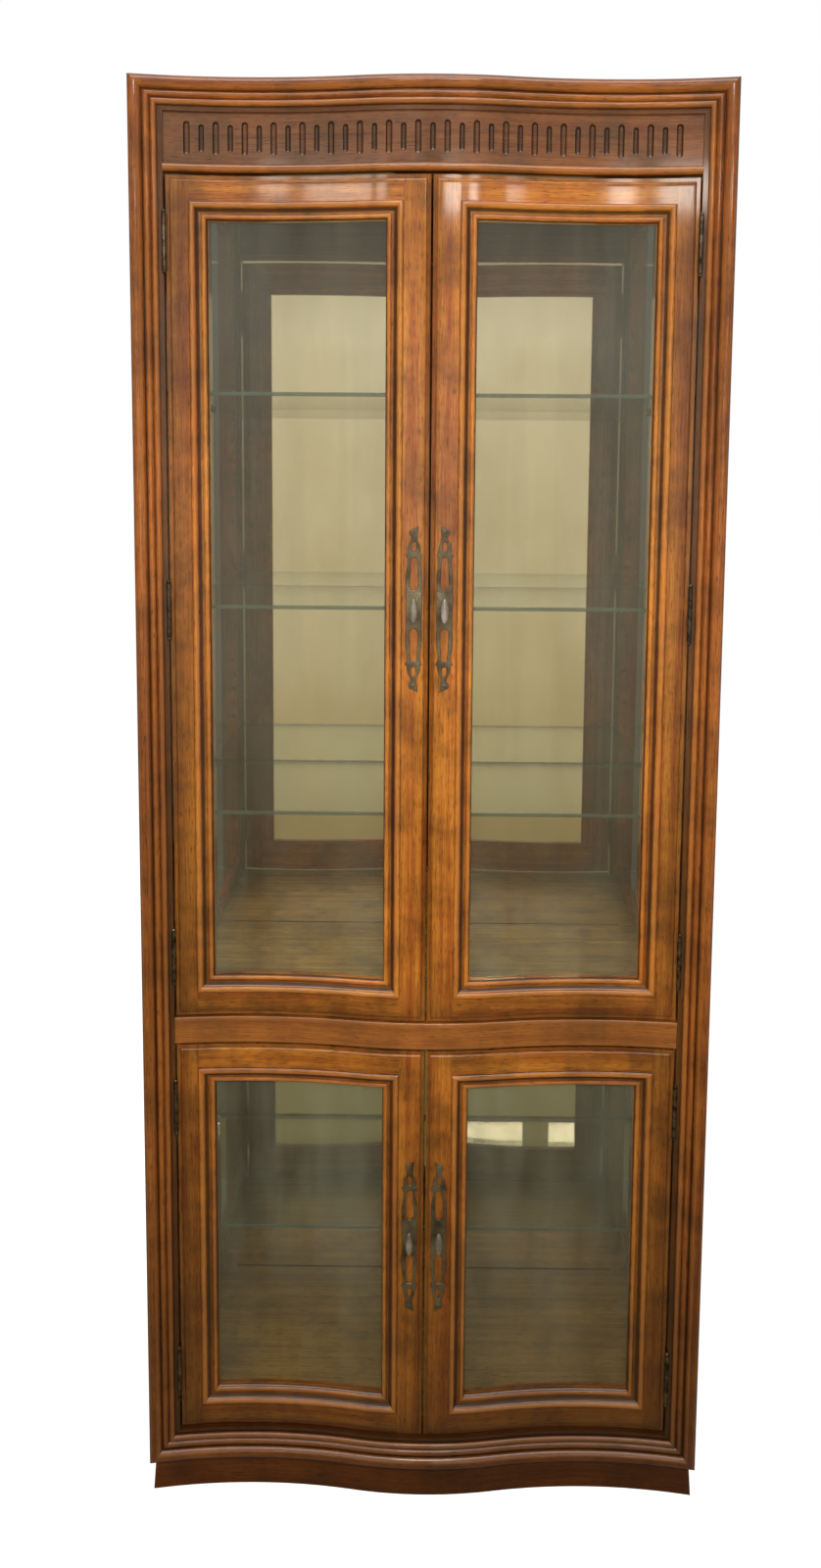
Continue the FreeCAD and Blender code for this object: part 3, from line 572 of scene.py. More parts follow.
def lacquered_wood(name, stain, sheen, axis=None, coat=0.9, haze=0.08):
    """Stained hardwood under a satin lacquer.

    Bands about 12 mm wide and fibres about 1.4 mm wide run along the grain, which the piece's
    own grain attribute gives, or one axis of Object coordinates on flat boards. They waver
    by up to 12 mm. Toner was sprayed over the whole front: it lies in clouds about 60 mm
    across, thicker and thinner over about 300 mm. The same toner colour is laid on heavier
    towards the foot, as painted shade where less light falls. Glaze fills the pores and the
    hollows, and where a piece's relief carries painted shade, the glaze colour paints that
    too. The crests are painted paler, partly rubbed wear and partly a painted highlight, and
    the lacquer is a clear coat over all of it, by a share coat and with the roughness haze.
    Pores are drawn 1.6 mm wide, which is coarser than real ones, so that they show.
    """
    waver, cloud_width, drift_width = 12.0*MM, 58.824*MM, 294.12*MM
    # Painted shade by height: none above the higher line, full below the lower one
    heavy_below, light_above = 300.0*MM, 660.0*MM
    material, tree, surface = blank(name)
    place = add(tree, "TexCoord").outputs["Object"]
    if axis is None:
        grain = add(tree, "Attribute", attribute_name="grain").outputs["Vector"]
    else:
        turn = {"X": (0, 0, 0), "Y": (0, 0, np.pi/2)}[axis]
        grain = add(tree, "Mapping", {"Vector": place, "Rotation": turn}).outputs["Vector"]
    bent = add(tree, "VectorMath", {1: (0.0, waver, 0.0), 2: grain},
               operation="MULTIPLY_ADD")
    # What each noise runs along, the length and the width of its grains, and its detail
    noises = {}
    for part, source, length, width, detail in (
            ("waver", grain, 333.3*MM, 71.43*MM, 1.0),
            ("pores", grain, 18.182*MM, 1.6129*MM, 1.0),
            ("bands", bent.outputs[0], 625.0*MM, 11.765*MM, 3.0),
            ("fibres", bent.outputs[0], 71.43*MM, 1.42857*MM, 2.0)):
        stretched = add(tree, "Mapping", {"Vector": source, "Scale": (
            1/length, 1/width, 1/width if axis else 1)}).outputs[0]
        noises[part] = add(tree, "TexNoise", {"Vector": stretched, "Scale": 1.0,
                                              "Detail": detail, "Roughness": 0.55}).outputs
    tree.links.new(noises["waver"]["Color"], bent.inputs[0])
    fibres, pores = noises["fibres"]["Fac"], noises["pores"]["Fac"]
    clouds = add(tree, "TexNoise", {"Vector": place, "Scale": 1/cloud_width, "Detail": 4.0,
                                    "Roughness": 0.6}).outputs["Fac"]
    drift = add(tree, "TexNoise", {"Vector": place, "Scale": 1/drift_width,
                                   "Detail": 1.0}).outputs["Fac"]
    rise = add(tree, "SeparateXYZ", {0: place}).outputs["Z"]
    relief = add(tree, "Attribute", attribute_name="relief").outputs["Fac"]
    # How much late wood the bands and the fibres give, and the roughness of the fibres
    levels = []
    for value, start, end, low, high in (
            (noises["bands"]["Fac"], 0.33, 0.67, 0.1, 0.9), (fibres, 0.32, 0.68, -0.35, 0.35),
            (fibres, 0.3, 0.7, sheen - 0.05, sheen + 0.08)):
        levels.append(add(tree, "MapRange", {0: value, 1: start, 2: end, 3: low,
                                             4: high}).outputs[0])
    banding, figure, rough = levels
    late = add(tree, "Math", {0: banding, 1: figure}, operation="ADD", use_clamp=True)
    wood = add(tree, "Mix", {0: late.outputs[0], 6: tone(stain + "_light"),
                             7: tone(stain + "_dark")}, data_type="RGBA").outputs[2]
    # Each layer: what it follows, from where, to where, its share and its tone. The layer
    # that follows the height is painted shade, darker towards the foot; the glaze layer also
    # paints the shade that some pieces carry in their relief, and the last layer paints crests
    # paler, partly rubbed wear and partly a painted highlight
    smoke, glaze = tone(stain + "_smoke"), tone("glaze")
    wood = layered(tree, wood, (
        (clouds, 0.42, 0.66, 0.55, smoke), (drift, 0.4, 0.68, 0.35, smoke),
        (rise, light_above, heavy_below, 0.45, smoke), (pores, 0.58, 0.7, 0.6, glaze),
        (relief, -0.25, -1.0, 0.85, glaze), (relief, 0.2, 1.0, 0.45, tone("rubbed"))))
    opaque(tree, surface, pores, 0.12, 0.3*MM, {
        "Base Color": wood, "Roughness": rough, "IOR": 1.5, "Specular IOR Level": 0.12,
        "Coat Weight": coat, "Coat Roughness": haze})
    return material


def door_wood(name):
    """Doors: an amber stain with brown toner."""
    return lacquered_wood(name, "door", sheen=0.36)


def frame_wood(name):
    """Mouldings and rails: the same stain, one shade darker."""
    return lacquered_wood(name, "frame", sheen=0.34)


def toned_frieze(name):
    """Frieze: a pinkish brown stain."""
    return lacquered_wood(name, "frieze", sheen=0.4)


def dark_plinth(name):
    """Plinth: a nearly black-brown stain, scuffed duller than the rest."""
    return lacquered_wood(name, "plinth", sheen=0.42, coat=0.45)


def board_wood(name):
    """Top: frame stain on a flat board with little lacquer, grain along X."""
    return lacquered_wood(name, "frame", sheen=0.45, axis="X", coat=0.15, haze=0.4)


def floor_wood(name):
    """Inner floors: a paler, greyer stain, dulled by use, grain along X."""
    return lacquered_wood(name, "floor", sheen=0.38, axis="X", coat=0.5, haze=0.35)


def dark_return(name):
    """Plinth returns: plinth stain on boards that run from front to back."""
    return lacquered_wood(name, "plinth", sheen=0.42, axis="Y", coat=0.45)


def fibre_board(name):
    """Hard-pressed fibre board, left unpainted: a matt brown felt of short fibres.

    The fibres are about 4 mm long and lie every way, so the noise is the same along each
    axis, with darker flecks 1.5 mm across and stains about 200 mm across.
    """
    fibre, fleck, stain = 3.8462*MM, 1.5385*MM, 200.0*MM
    material, tree, surface = blank(name)
    place = add(tree, "TexCoord").outputs["Object"]
    felt = add(tree, "TexNoise", {"Vector": place, "Scale": 1/fibre, "Detail": 3.0,
                                  "Distortion": 1.5}).outputs["Fac"]
    flecks = add(tree, "TexNoise", {"Vector": place, "Scale": 1/fleck}).outputs["Fac"]
    stains = add(tree, "TexNoise", {"Vector": place, "Scale": 1/stain, "Detail": 3.0})
    brown = layered(tree, tone("board_light"), (
        (felt, 0.3, 0.7, 1.0, tone("board_dark")), (flecks, 0.62, 0.75, 0.5, tone("frame_dark")),
        (stains.outputs["Fac"], 0.4, 0.7, 0.3, tone("board_dark"))))
    rough = add(tree, "MapRange", {0: felt, 1: 0.3, 2: 0.7, 3: 0.65, 4: 0.85}).outputs[0]
    opaque(tree, surface, felt, 0.25, 0.4*MM, {"Base Color": brown, "Roughness": rough})
    return material


def worn_metal(name, bright, dark, patches, marks, smooth, rough, metallic=1.0):
    """Metal with tarnish in patches, patches metres across, over rubbing marks marks apart.

    Rubbed patches are brighter and smoother, tarnished ones darker and rougher. A metallic
    share under 1 leaves the rest to a matt bloom of oxide.
    """
    start, end = 0.38, 0.66
    material, tree, surface = blank(name)
    place = add(tree, "TexCoord").outputs["Object"]
    tarnish = add(tree, "TexNoise", {"Vector": place, "Scale": 1/patches, "Detail": 4.0,
                                     "Roughness": 0.65}).outputs["Fac"]
    rubbing = add(tree, "TexNoise", {"Vector": place, "Scale": 1/marks, "Detail": 2.0})
    metal = layered(tree, tone(bright), ((tarnish, start, end, 1.0, tone(dark)),))
    gloss = add(tree, "MapRange", {0: tarnish, 1: start, 2: end, 3: smooth, 4: rough})
    opaque(tree, surface, rubbing.outputs["Fac"], 0.2, 0.2*MM, {
        "Base Color": metal, "Metallic": metallic, "Roughness": gloss.outputs[0]})
    return material


def antique_brass(name):
    """Cast brass, dipped and relieved: grey olive with rubbed pale edges."""
    return worn_metal(name, "brass", "brass_patina", patches=30.0*MM, marks=1.2*MM,
                      smooth=0.26, rough=0.5, metallic=0.55)


def burnished_brass(name):
    """Turned brass knobs, darkened and polished by hands."""
    return worn_metal(name, "knob", "knob_patina", patches=50.0*MM, marks=4.0*MM,
                      smooth=0.24, rough=0.3, metallic=0.25)


def oxidised_bronze(name):
    """Hinges and screws: rolled bronze with a dark oxide, rubbed grey on the knuckles."""
    return worn_metal(name, "bronze", "bronze_dark", patches=10.0*MM, marks=1.0*MM,
                      smooth=0.3, rough=0.55)


def plated_nickel(name):
    """Shelf pins: nickel-plated steel, turned, with fine scratches."""
    return worn_metal(name, "nickel", "bronze", patches=30.0*MM, marks=0.8*MM,
                      smooth=0.16, rough=0.3)


def moulded_catch(name):
    """Catches: moulded nylon with a fine spark-eroded texture, 0.5 mm grain."""
    grain = 0.5*MM
    material, tree, surface = blank(name)
    place = add(tree, "TexCoord").outputs["Object"]
    grit = add(tree, "TexNoise", {"Vector": place, "Scale": 1/grain}).outputs["Fac"]
    gloss = add(tree, "MapRange", {0: grit, 3: 0.35, 4: 0.6}).outputs[0]
    opaque(tree, surface, grit, 0.2, 0.1*MM, {"Base Color": tone("catch"),
                                              "Roughness": gloss})
    return material


def sheet_glass(name, tint, film, waver, edge=None):
    """Glass in a sheet too thin to bend what is seen through it.

    It is clear, and mirrors a share of 0.04 + 0.96*f to the fifth, where f is 0 for a ray that
    meets it head on and 1 for one that grazes it. Its faces waver in upright streaks about
    40 mm wide and waver metres deep, as in drawn glass. A film of dust hides a share of
    about film, more and less in wiped patches about 70 mm wide, and it is heavier, times
    heavy, round knee height. Where an edge tone is given, faces that don't lie flat take it
    instead, as on a plate whose edges gather its green.
    """
    head_on = 0.04
    knee, core, fade, heavy = 560.0*MM, 50.0*MM, 420.0*MM, 2.6
    material, tree, surface = blank(name)
    place = add(tree, "TexCoord").outputs["Object"]
    facing = add(tree, "LayerWeight", {"Blend": 0.5}).outputs["Facing"]
    fifth = add(tree, "Math", {0: facing, 1: 5.0}, operation="POWER").outputs[0]
    share = add(tree, "Math", {0: fifth, 1: 1 - head_on, 2: head_on},
                operation="MULTIPLY_ADD").outputs[0]
    # Width and height of the streaks and the patches, their detail and its roughness
    noises = []
    for width, height, detail, roughness in ((40.0*MM, 500.0*MM, 1.0, 0.5),
                                             (71.43*MM, 333.3*MM, 6.0, 0.6)):
        stretched = add(tree, "Mapping", {"Vector": place, "Scale": (
            1/width, 1/width, 1/height)}).outputs[0]
        noises.append(add(tree, "TexNoise", {"Vector": stretched, "Scale": 1.0,
                                             "Detail": detail, "Roughness": roughness}))
    streaks, patches = [noise.outputs["Fac"] for noise in noises]
    bump = add(tree, "Bump", {"Height": streaks, "Strength": 1.0, "Distance": waver})
    clear = add(tree, "BsdfTransparent", {"Color": tint}).outputs[0]
    mirror = add(tree, "BsdfGlossy", {"Color": (1, 1, 1, 1), "Roughness": 0.0,
                                      "Normal": bump.outputs["Normal"]}).outputs[0]
    rise = add(tree, "SeparateXYZ", {0: place}).outputs["Z"]
    away = add(tree, "Math", {0: rise, 1: knee}, operation="SUBTRACT").outputs[0]
    away = add(tree, "Math", {0: away}, operation="ABSOLUTE").outputs[0]
    thick = add(tree, "MapRange", {0: away, 1: core, 2: fade, 3: heavy*film, 4: film})
    wiped = add(tree, "MapRange", {0: patches, 1: 0.35, 2: 0.68, 3: 0.3, 4: 1.3})
    hidden = add(tree, "Math", {0: wiped.outputs[0], 1: thick.outputs[0]},
                 operation="MULTIPLY").outputs[0]
    dust = add(tree, "BsdfDiffuse", {"Color": tone("dust")}).outputs[0]
    glass = add(tree, "MixShader", {0: share, 1: clear, 2: mirror}).outputs[0]
    glass = add(tree, "MixShader", {0: hidden, 1: glass, 2: dust}).outputs[0]
    if edge is not None:
        normal = add(tree, "NewGeometry").outputs["Normal"]
        upright = add(tree, "SeparateXYZ", {0: normal}).outputs["Z"]
        flat = add(tree, "Math", {0: upright}, operation="ABSOLUTE").outputs[0]
        flat = add(tree, "MapRange", {0: flat, 1: 0.5, 2: 0.9}).outputs[0]
        rim = add(tree, "BsdfPrincipled", {"Base Color": edge, "Roughness": 0.15,
                                           "Alpha": 0.8}).outputs[0]
        glass = add(tree, "MixShader", {0: flat, 1: rim, 2: glass}).outputs[0]
    tree.links.new(glass, surface)
    return material


def window_glass(name):
    """Drawn sheet glass in the doors and sides, nearly colourless."""
    return sheet_glass(name, tone("window"), film=0.055, waver=0.5*MM)


def plate_glass(name):
    """Polished plate glass of the shelves: faintly green, dark green along its edges."""
    return sheet_glass(name, tone("shelf_glass"), film=0.015, waver=0.0,
                       edge=tone("shelf_edge"))


def silvered_mirror(name):
    """Silvered glass, a little warm, and browner with age in patches 167 mm across."""
    patches = 166.67*MM
    material, tree, surface = blank(name)
    place = add(tree, "TexCoord").outputs["Object"]
    age = add(tree, "TexNoise", {"Vector": place, "Scale": 1/patches,
                                 "Detail": 3.0}).outputs["Fac"]
    silver = layered(tree, tone("mirror"), ((age, 0.4, 0.75, 1.0, tone("mirror_age")),))
    shader = add(tree, "BsdfPrincipled", {"Base Color": silver, "Metallic": 1.0,
                                          "Roughness": 0.0})
    tree.links.new(shader.outputs[0], surface)
    return material


# Each finish: the record's material slot, and what makes the material
FINISHES = {
    "door_wood": ("stained_wood", door_wood),
    "frame_wood": ("stained_wood", frame_wood),
    "board_wood": ("stained_wood", board_wood),
    "floor_wood": ("stained_wood", floor_wood),
    "toned_frieze": ("frieze_wood", toned_frieze),
    "dark_plinth": ("plinth_wood", dark_plinth),
    "dark_return": ("plinth_wood", dark_return),
    "fibre_board": ("back_board", fibre_board),
    "window_glass": ("clear_glass", window_glass),
    "plate_glass": ("shelf_glass", plate_glass),
    "silvered_mirror": ("mirror_glass", silvered_mirror),
    "antique_brass": ("aged_brass", antique_brass),
    "burnished_brass": ("aged_brass", burnished_brass),
    "oxidised_bronze": ("dark_bronze", oxidised_bronze),
    "plated_nickel": ("steel", plated_nickel),
    "moulded_catch": ("black_plastic", moulded_catch),
}


class CABINET_OT_frame(bpy.types.Operator):
    """Run the picture-frame moulding round the front, mitred at its corners"""
    bl_idname = "cabinet.frame"
    bl_label = "Frame Moulding"

    # The lower part of the foot's big round, painted dark as shade because light falls from
    # above, and how deep a hollow it counts as
    shaded_width = 12.0*MM
    shaded_relief = -0.3

    def execute(self, context):
        sizes = context.scene.cabinet_sizes
        section = frame_profile(sizes.profile_pitch/MM)
        # Beyond FRAME_QUIRK the quirk and lip are painted dark, partly as painted shade
        relief = profile_relief(section, sizes, 0.8, 0.55, FRAME_QUIRK)
        # The lower part of the foot's big round gets painted shade
        shaded = np.where(section[:, 0] < self.shaded_width, self.shaded_relief, relief)
        corners = (-WIDTH/2, WIDTH/2, BASE_FOOT, HEIGHT)
        for edge, end, seed, glazed in (
                ("top", "top", 1.0, relief), ("foot", "bottom", 2.0, shaded),
                ("left", "left", 3.0, relief), ("right", "right", 4.0, relief)):
            shell = moulding(section, glazed, edge, corners, seed, sizes)
            piece(end + "_moulding", [shell], "root", "frame_wood",
                  ["frame_moulding_" + end])
        return {"FINISHED"}


class CABINET_OT_frieze(bpy.types.Operator):
    """Cut the fluted frieze and run the bead under it"""
    bl_idname = "cabinet.frieze"
    bl_label = "Frieze"

    # Length and width of the flutes
    long_flute = (44.0*MM, 8.6*MM)
    short_flute = (36.0*MM, 7.2*MM)
    flute_pitch = 19.7*MM
    count = 35
    recess = 2.5*MM
    bead_stand = 6.0*MM
    seed = 6.0
    bead_seed = 7.0

    # Points along each side and end of a cell and across a scoop, the share of a side that
    # goes with the flute's straight run, the angle that the rest of it takes up, and where
    # the rings outside a flute's rim lie on the way to the cell's rectangle
    side_steps = 24
    end_steps = 8
    scoop_steps = 8
    straight_share = 0.6
    side_bend = np.radians(60)
    outer_shares = (0.06, 0.5, 1.0)

    # How much less glaze lies on the floor of a long and a short flute than on its walls,
    # which paints a highlight there
    long_floor, short_floor = 0.45, 0.15

    def cell_rim(self):
        """Where each point round a cell lies, by share of the cell and round the flute.

        The first pair of arrays goes round the cell's rectangle, from -1 to 1 each way. Then
        come the share of the flute's straight run that the point belongs to and its angle:
        the middle of a side belongs to the straight run and the rest to the round ends.
        """
        straight, turn = self.straight_share, self.side_bend
        rise = np.linspace(-1, 1, self.side_steps, endpoint=False)
        over = np.linspace(1, -1, self.end_steps, endpoint=False)
        across = np.concatenate([0*rise + 1, over, 0*rise - 1, -over])
        up = np.concatenate([rise, 0*over + 1, -rise, 0*over - 1])
        bend = turn*np.sign(rise)*np.clip((np.abs(rise) - straight)/(1 - straight), 0, 1)
        tip = turn + (np.pi/2 - turn)*(1 - over)
        angles = np.concatenate([bend, tip, bend + np.pi, tip + np.pi])
        return across, up, np.clip(up/straight, -1, 1), angles

    def flutes(self):
        """All cells as one grid of rings round each flute.

        Inside the rim the scoop is swept along the straight run and turned at its ends: at
        the angle b from its lowest line, a point lies radius*sin(b) out and radius times the
        square root of cos(b) deep. Glaze is thick on its walls and thinner on its floor, which
        is painted lighter there as a painted highlight.
        Outside, rings go over evenly into the cell's rectangle.
        """
        across, up, run, angles = self.cell_rim()
        index = np.arange(self.count)
        long = (index % 2 == 0)[:, None, None]
        length = np.where(long, self.long_flute[0], self.short_flute[0])
        radius = np.where(long, self.long_flute[1], self.short_flute[1])/2
        centre = ((index - (self.count - 1)/2)*self.flute_pitch)[:, None, None]
        scoop = np.radians(np.linspace(0, 90, self.scoop_steps))[None, :, None]
        half = (FRIEZE_HIGH.z - FRIEZE_LOW.z)/2
        rim_x = radius*np.cos(angles)
        rim_z = (length/2 - radius)*run + radius*np.sin(angles)
        inner_x = np.sin(scoop)*rim_x
        inner_z = (length/2 - radius)*run + np.sin(scoop)*radius*np.sin(angles)
        outer = np.array(self.outer_shares)[None, :, None]
        outer_x = rim_x + outer*(across*self.flute_pitch/2 - rim_x)
        outer_z = rim_z + outer*(up*half - rim_z)
        x = centre + np.concatenate([inner_x, outer_x], axis=1)
        z = (FRIEZE_LOW.z + FRIEZE_HIGH.z)/2 + np.concatenate([inner_z, outer_z], axis=1)
        fall = np.sqrt(np.maximum(np.cos(scoop), 0))
        depth = np.concatenate([radius*fall + 0*inner_x, 0*outer_x], axis=1)
        points = grid(x, front(x, -self.recess - depth), z)
        rings = x.shape[1]
        ring = grid_faces(rings, len(angles), True)
        faces = (ring[None] + (index*rings*len(angles))[:, None, None]).reshape(-1, 4)
        # The flute's floor carries less glaze: a painted highlight
        floor = np.where(long, self.long_floor, self.short_floor)*fall**4
        hollow = np.concatenate([floor - 1 + 0*inner_x, 0*outer_x], axis=1)
        return Shell(points.reshape(-1, 3), [faces], grid(x, z, self.seed).reshape(-1, 3),
                     hollow.ravel())

    def margin(self, low, high):
        """A plain strip of the front at one end, on the cells' own lines."""
        z, x = np.meshgrid(np.linspace(FRIEZE_LOW.z, FRIEZE_HIGH.z, self.side_steps + 1),
                           np.linspace(low, high, 4), indexing="ij")
        points = grid(x, front(x, -self.recess), z)
        return Shell(points.reshape(-1, 3), [grid_faces(*x.shape, False)],
                     grid(x, z, self.seed).reshape(-1, 3), np.zeros(x.size))

    def back(self, reach):
        """The four edges and the flat back, joined to the front along its outline."""
        ends = np.linspace(FRIEZE_LOW.x, -reach, 4)[:-1]
        cells = np.linspace(-reach, reach, self.count*self.end_steps + 1)
        x_line = np.concatenate([ends, cells, -ends[::-1]])
        z_line = np.linspace(FRIEZE_LOW.z, FRIEZE_HIGH.z, self.side_steps + 1)
        x = np.concatenate([x_line[:-1], 0*z_line[:-1] + FRIEZE_HIGH.x, x_line[:0:-1],
                            0*z_line[:-1] + FRIEZE_LOW.x])
        z = np.concatenate([0*x_line[:-1] + FRIEZE_LOW.z, z_line[:-1],
                            0*x_line[:-1] + FRIEZE_HIGH.z, z_line[:0:-1]])
        points = np.concatenate([grid(x, front(x, -self.recess), z), grid(x, CASE_FRONT, z)])
        count = len(x)
        faces = [grid_faces(2, count, True), (np.arange(count) + count)[None, :]]
        return Shell(points, faces, grid(points[:, 0], points[:, 2], self.seed),
                     np.zeros(2*count))

    def execute(self, context):
        sizes = context.scene.cabinet_sizes
        reach = self.count*self.flute_pitch/2
        shells = [self.flutes(), self.margin(FRIEZE_LOW.x, -reach),
                  self.margin(reach, FRIEZE_HIGH.x), self.back(reach)]
        piece("fluted_frieze", shells, "root", "toned_frieze", ["frieze_panel"], weld=True)
        low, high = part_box("frieze_bead")
        rise = (high.z - low.z)/MM
        section = outline([((0, 0),), ((rise/2, self.bead_stand/MM), (rise, 0))],
                          [(rise, -np.inf), (0, -np.inf)], sizes.profile_pitch/MM)
        shell = moulding(section, profile_relief(section, sizes), "foot",
                         (low.x, high.x, low.z, high.z), self.bead_seed, sizes, mitred=False)
        piece("frieze_astragal", [shell], "root", "frame_wood", ["frieze_bead"])
        return {"FINISHED"}


class CABINET_OT_rails(bpy.types.Operator):
    """Make the rail between the doors and the plinth"""
    bl_idname = "cabinet.rails"
    bl_label = "Mid Rail and Plinth"

    # The radius of the mid rail's rounded edges, and how much paler its whole face is painted
    rail_ease = 2.5*MM
    rubbed = 0.5
    rail_seed = 8.0

    # How far the plinth spreads at the floor, and how far it stands out at its top
    flare, stand = 3.0*MM, 2.0*MM
    plinth_seed = 9.0

    def execute(self, context):
        sizes = context.scene.cabinet_sizes
        low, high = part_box("mid_rail")
        rise, ease = (high.z - low.z)/MM, self.rail_ease/MM
        bend = ease*(1 - np.sqrt(0.5))
        section = outline([((0, -ease),), ((bend, -bend), (ease, 0)), ((rise - ease, 0),),
                           ((rise - bend, -bend), (rise, -ease))],
                          [(rise, -np.inf), (0, -np.inf)], sizes.profile_pitch/MM)
        # The whole face is painted paler with the rubbed colour
        relief = self.rubbed + profile_relief(section, sizes)
        shell = moulding(section, relief, "foot", (low.x, high.x, low.z, high.z),
                         self.rail_seed, sizes, mitred=False)
        piece("middle_rail", [shell], "root", "frame_wood", ["mid_rail"])
        self.plinth(sizes)
        return {"FINISHED"}

    def plinth(self, sizes):
        """A board that leans out towards the floor.

        Its stand and its half width both grow by flare from the top to the floor, and its
        foot is eased.
        """
        low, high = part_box("plinth_front")
        ease = sizes.ease
        z = np.array([0, ease/3, ease, high.z/2, high.z - ease/2, high.z])
        tuck = np.array([ease/2, ease/8, 0, 0, 0, 0])
        lean = self.flare*(1 - z/high.z)
        share = np.linspace(-1, 1, int(WIDTH/sizes.row_pitch))[:, None]
        x = share*(high.x - self.flare + lean)
        fore = grid(x, front(x, self.stand + lean - tuck), z)
        points = np.concatenate([fore, grid(x, CASE_FRONT, z)[:, ::-1]], axis=1)
        grain = grid(points[..., 0], points[..., 2], self.plinth_seed)
        shell = tube(points, grain, np.zeros(points.shape[1]))
        piece("plinth_face", [shell], "root", "dark_plinth", ["plinth_front"])


class CABINET_OT_doors(bpy.types.Operator):
    """Make the stiles and rails of the four doors, with their stepped and rounded edges"""
    bl_idname = "cabinet.doors"
    bl_label = "Door Stiles and Rails"

    # Each outer edge steps down in a band, and the rails reach this far in
    band = 5.0*MM
    step = 3.0*MM
    rail_width = 35.0*MM

    # Where the even lines of a face begin, and how far apart they are across and along it
    first_line = 12.0*MM
    fine_pitch = 4.0*MM
    long_pitch = 20.0*MM

    # Glaze in the step, which is also painted shade in the recess by the frame, all over the
    # face and beside the step; painted shade at the hinge side and foot, where less light falls;
    # how far it reaches from the step and the foot, and where the hinge side's share starts
    step_glaze, face_glaze, near_glaze, side_glaze = 0.7, 0.25, 0.32, 0.28
    near_reach, foot_reach = 4*band, 16*band
    side_start_share, side_width_share = 0.8, 0.15

    def edge(self, away):
        """Stand of the face at a distance from a door's edge.

        It is a step down over the outer band, then a quarter circle up to the face.
        """
        reach = np.clip(self.band + self.step - away, 0, self.step)
        bend = np.sqrt(self.step**2 - reach**2) - self.step
        return np.where(away < self.band - MM/100, -self.step, bend)

    def edge_lines(self):
        """Distances from a door's edge at which the face bends."""
        quarter = np.radians(np.linspace(0, 90, 9))
        bends = self.band + self.step*(1 - np.cos(quarter))
        return np.concatenate([[0, self.band/2, self.band - MM/50], bends])

    def span(self, node):
        """Lowest and highest distance of a node from the middle plane."""
        return sorted(abs(corner.x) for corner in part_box(node))

    def execute(self, context):
        sizes = context.scene.cabinet_sizes
        inner = self.span("upper_right_door_meeting_stile")[0]
        outer = self.span("upper_right_door_hinge_stile")[1]
        bends, first, fine = self.edge_lines(), self.first_line, self.fine_pitch
        for door, side, seed in DOORS:
            stem = door + "_door_"
            foot, top = [corner.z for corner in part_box(stem + "hinge_stile")]

            def away(x, z):
                """Distances from the nearer side and from the nearer end of the door."""
                return (np.minimum(np.abs(x) - inner, outer - np.abs(x)),
                        np.minimum(z - foot, top - z))

            def stand(x, z):
                """The lower of the edge shapes across and up the door."""
                return np.minimum(*[self.edge(distance) for distance in away(x, z)])

            def face(x, z):
                return front(x, stand(x, z))

            def relief(x, z):
                """Glaze lies in the step and thins over a few centimetres. The step's dark is
                also painted shade, and painted shade darkens the hinge side and the foot.
                """
                # Painted shade: darker towards the hinge side and towards the foot
                hinge_side = (np.abs(x)/outer - self.side_start_share)/self.side_width_share
                foot_side = 1 - (z - foot)/self.foot_reach
                side_share = np.clip(np.maximum(hinge_side, foot_side), 0, 1)
                near_share = np.exp(-np.minimum(*away(x, z))/self.near_reach)
                shade = (-self.face_glaze - self.near_glaze*near_share
                         - self.side_glaze*side_share)
                return np.where(stand(x, z) < -0.9*self.step, -self.step_glaze, shade)

            back = level_front(-DOOR_THICKNESS)
            z_lines = np.concatenate([
                foot + bends, lines(foot + first, top - first, self.long_pitch),
                (top - bends)[::-1]])
            for part, near in (("meeting_stile", True), ("hinge_stile", False)):
                low, high = self.span(stem + part)
                if near:
                    edge = low + bends
                    x_lines = [edge, lines(edge[-1] + self.step, high, fine)]
                else:
                    edge = high - bends[::-1]
                    x_lines = [lines(low, edge[0] - self.step, fine), edge]
                shell = board(side*np.concatenate(x_lines), z_lines, face, back, True,
                              seed + near, relief)
                piece(door + "_" + part, [shell], stem[:-1], "door_wood", [stem + part])
            low, high = self.span(stem + "rails")
            x_lines = side*lines(low + sizes.joint, high - sizes.joint, sizes.row_pitch)
            ends = ((foot + bends, lines(foot + first, foot + self.rail_width, fine)),
                    (lines(top - self.rail_width, top - first, fine), (top - bends)[::-1]))
            rails = [board(x_lines, np.concatenate(end), face, back, False,
                           seed + 2 + number, relief) for number, end in enumerate(ends)]
            piece(door + "_rails", rails, stem[:-1], "door_wood", [stem + "rails"])
        return {"FINISHED"}


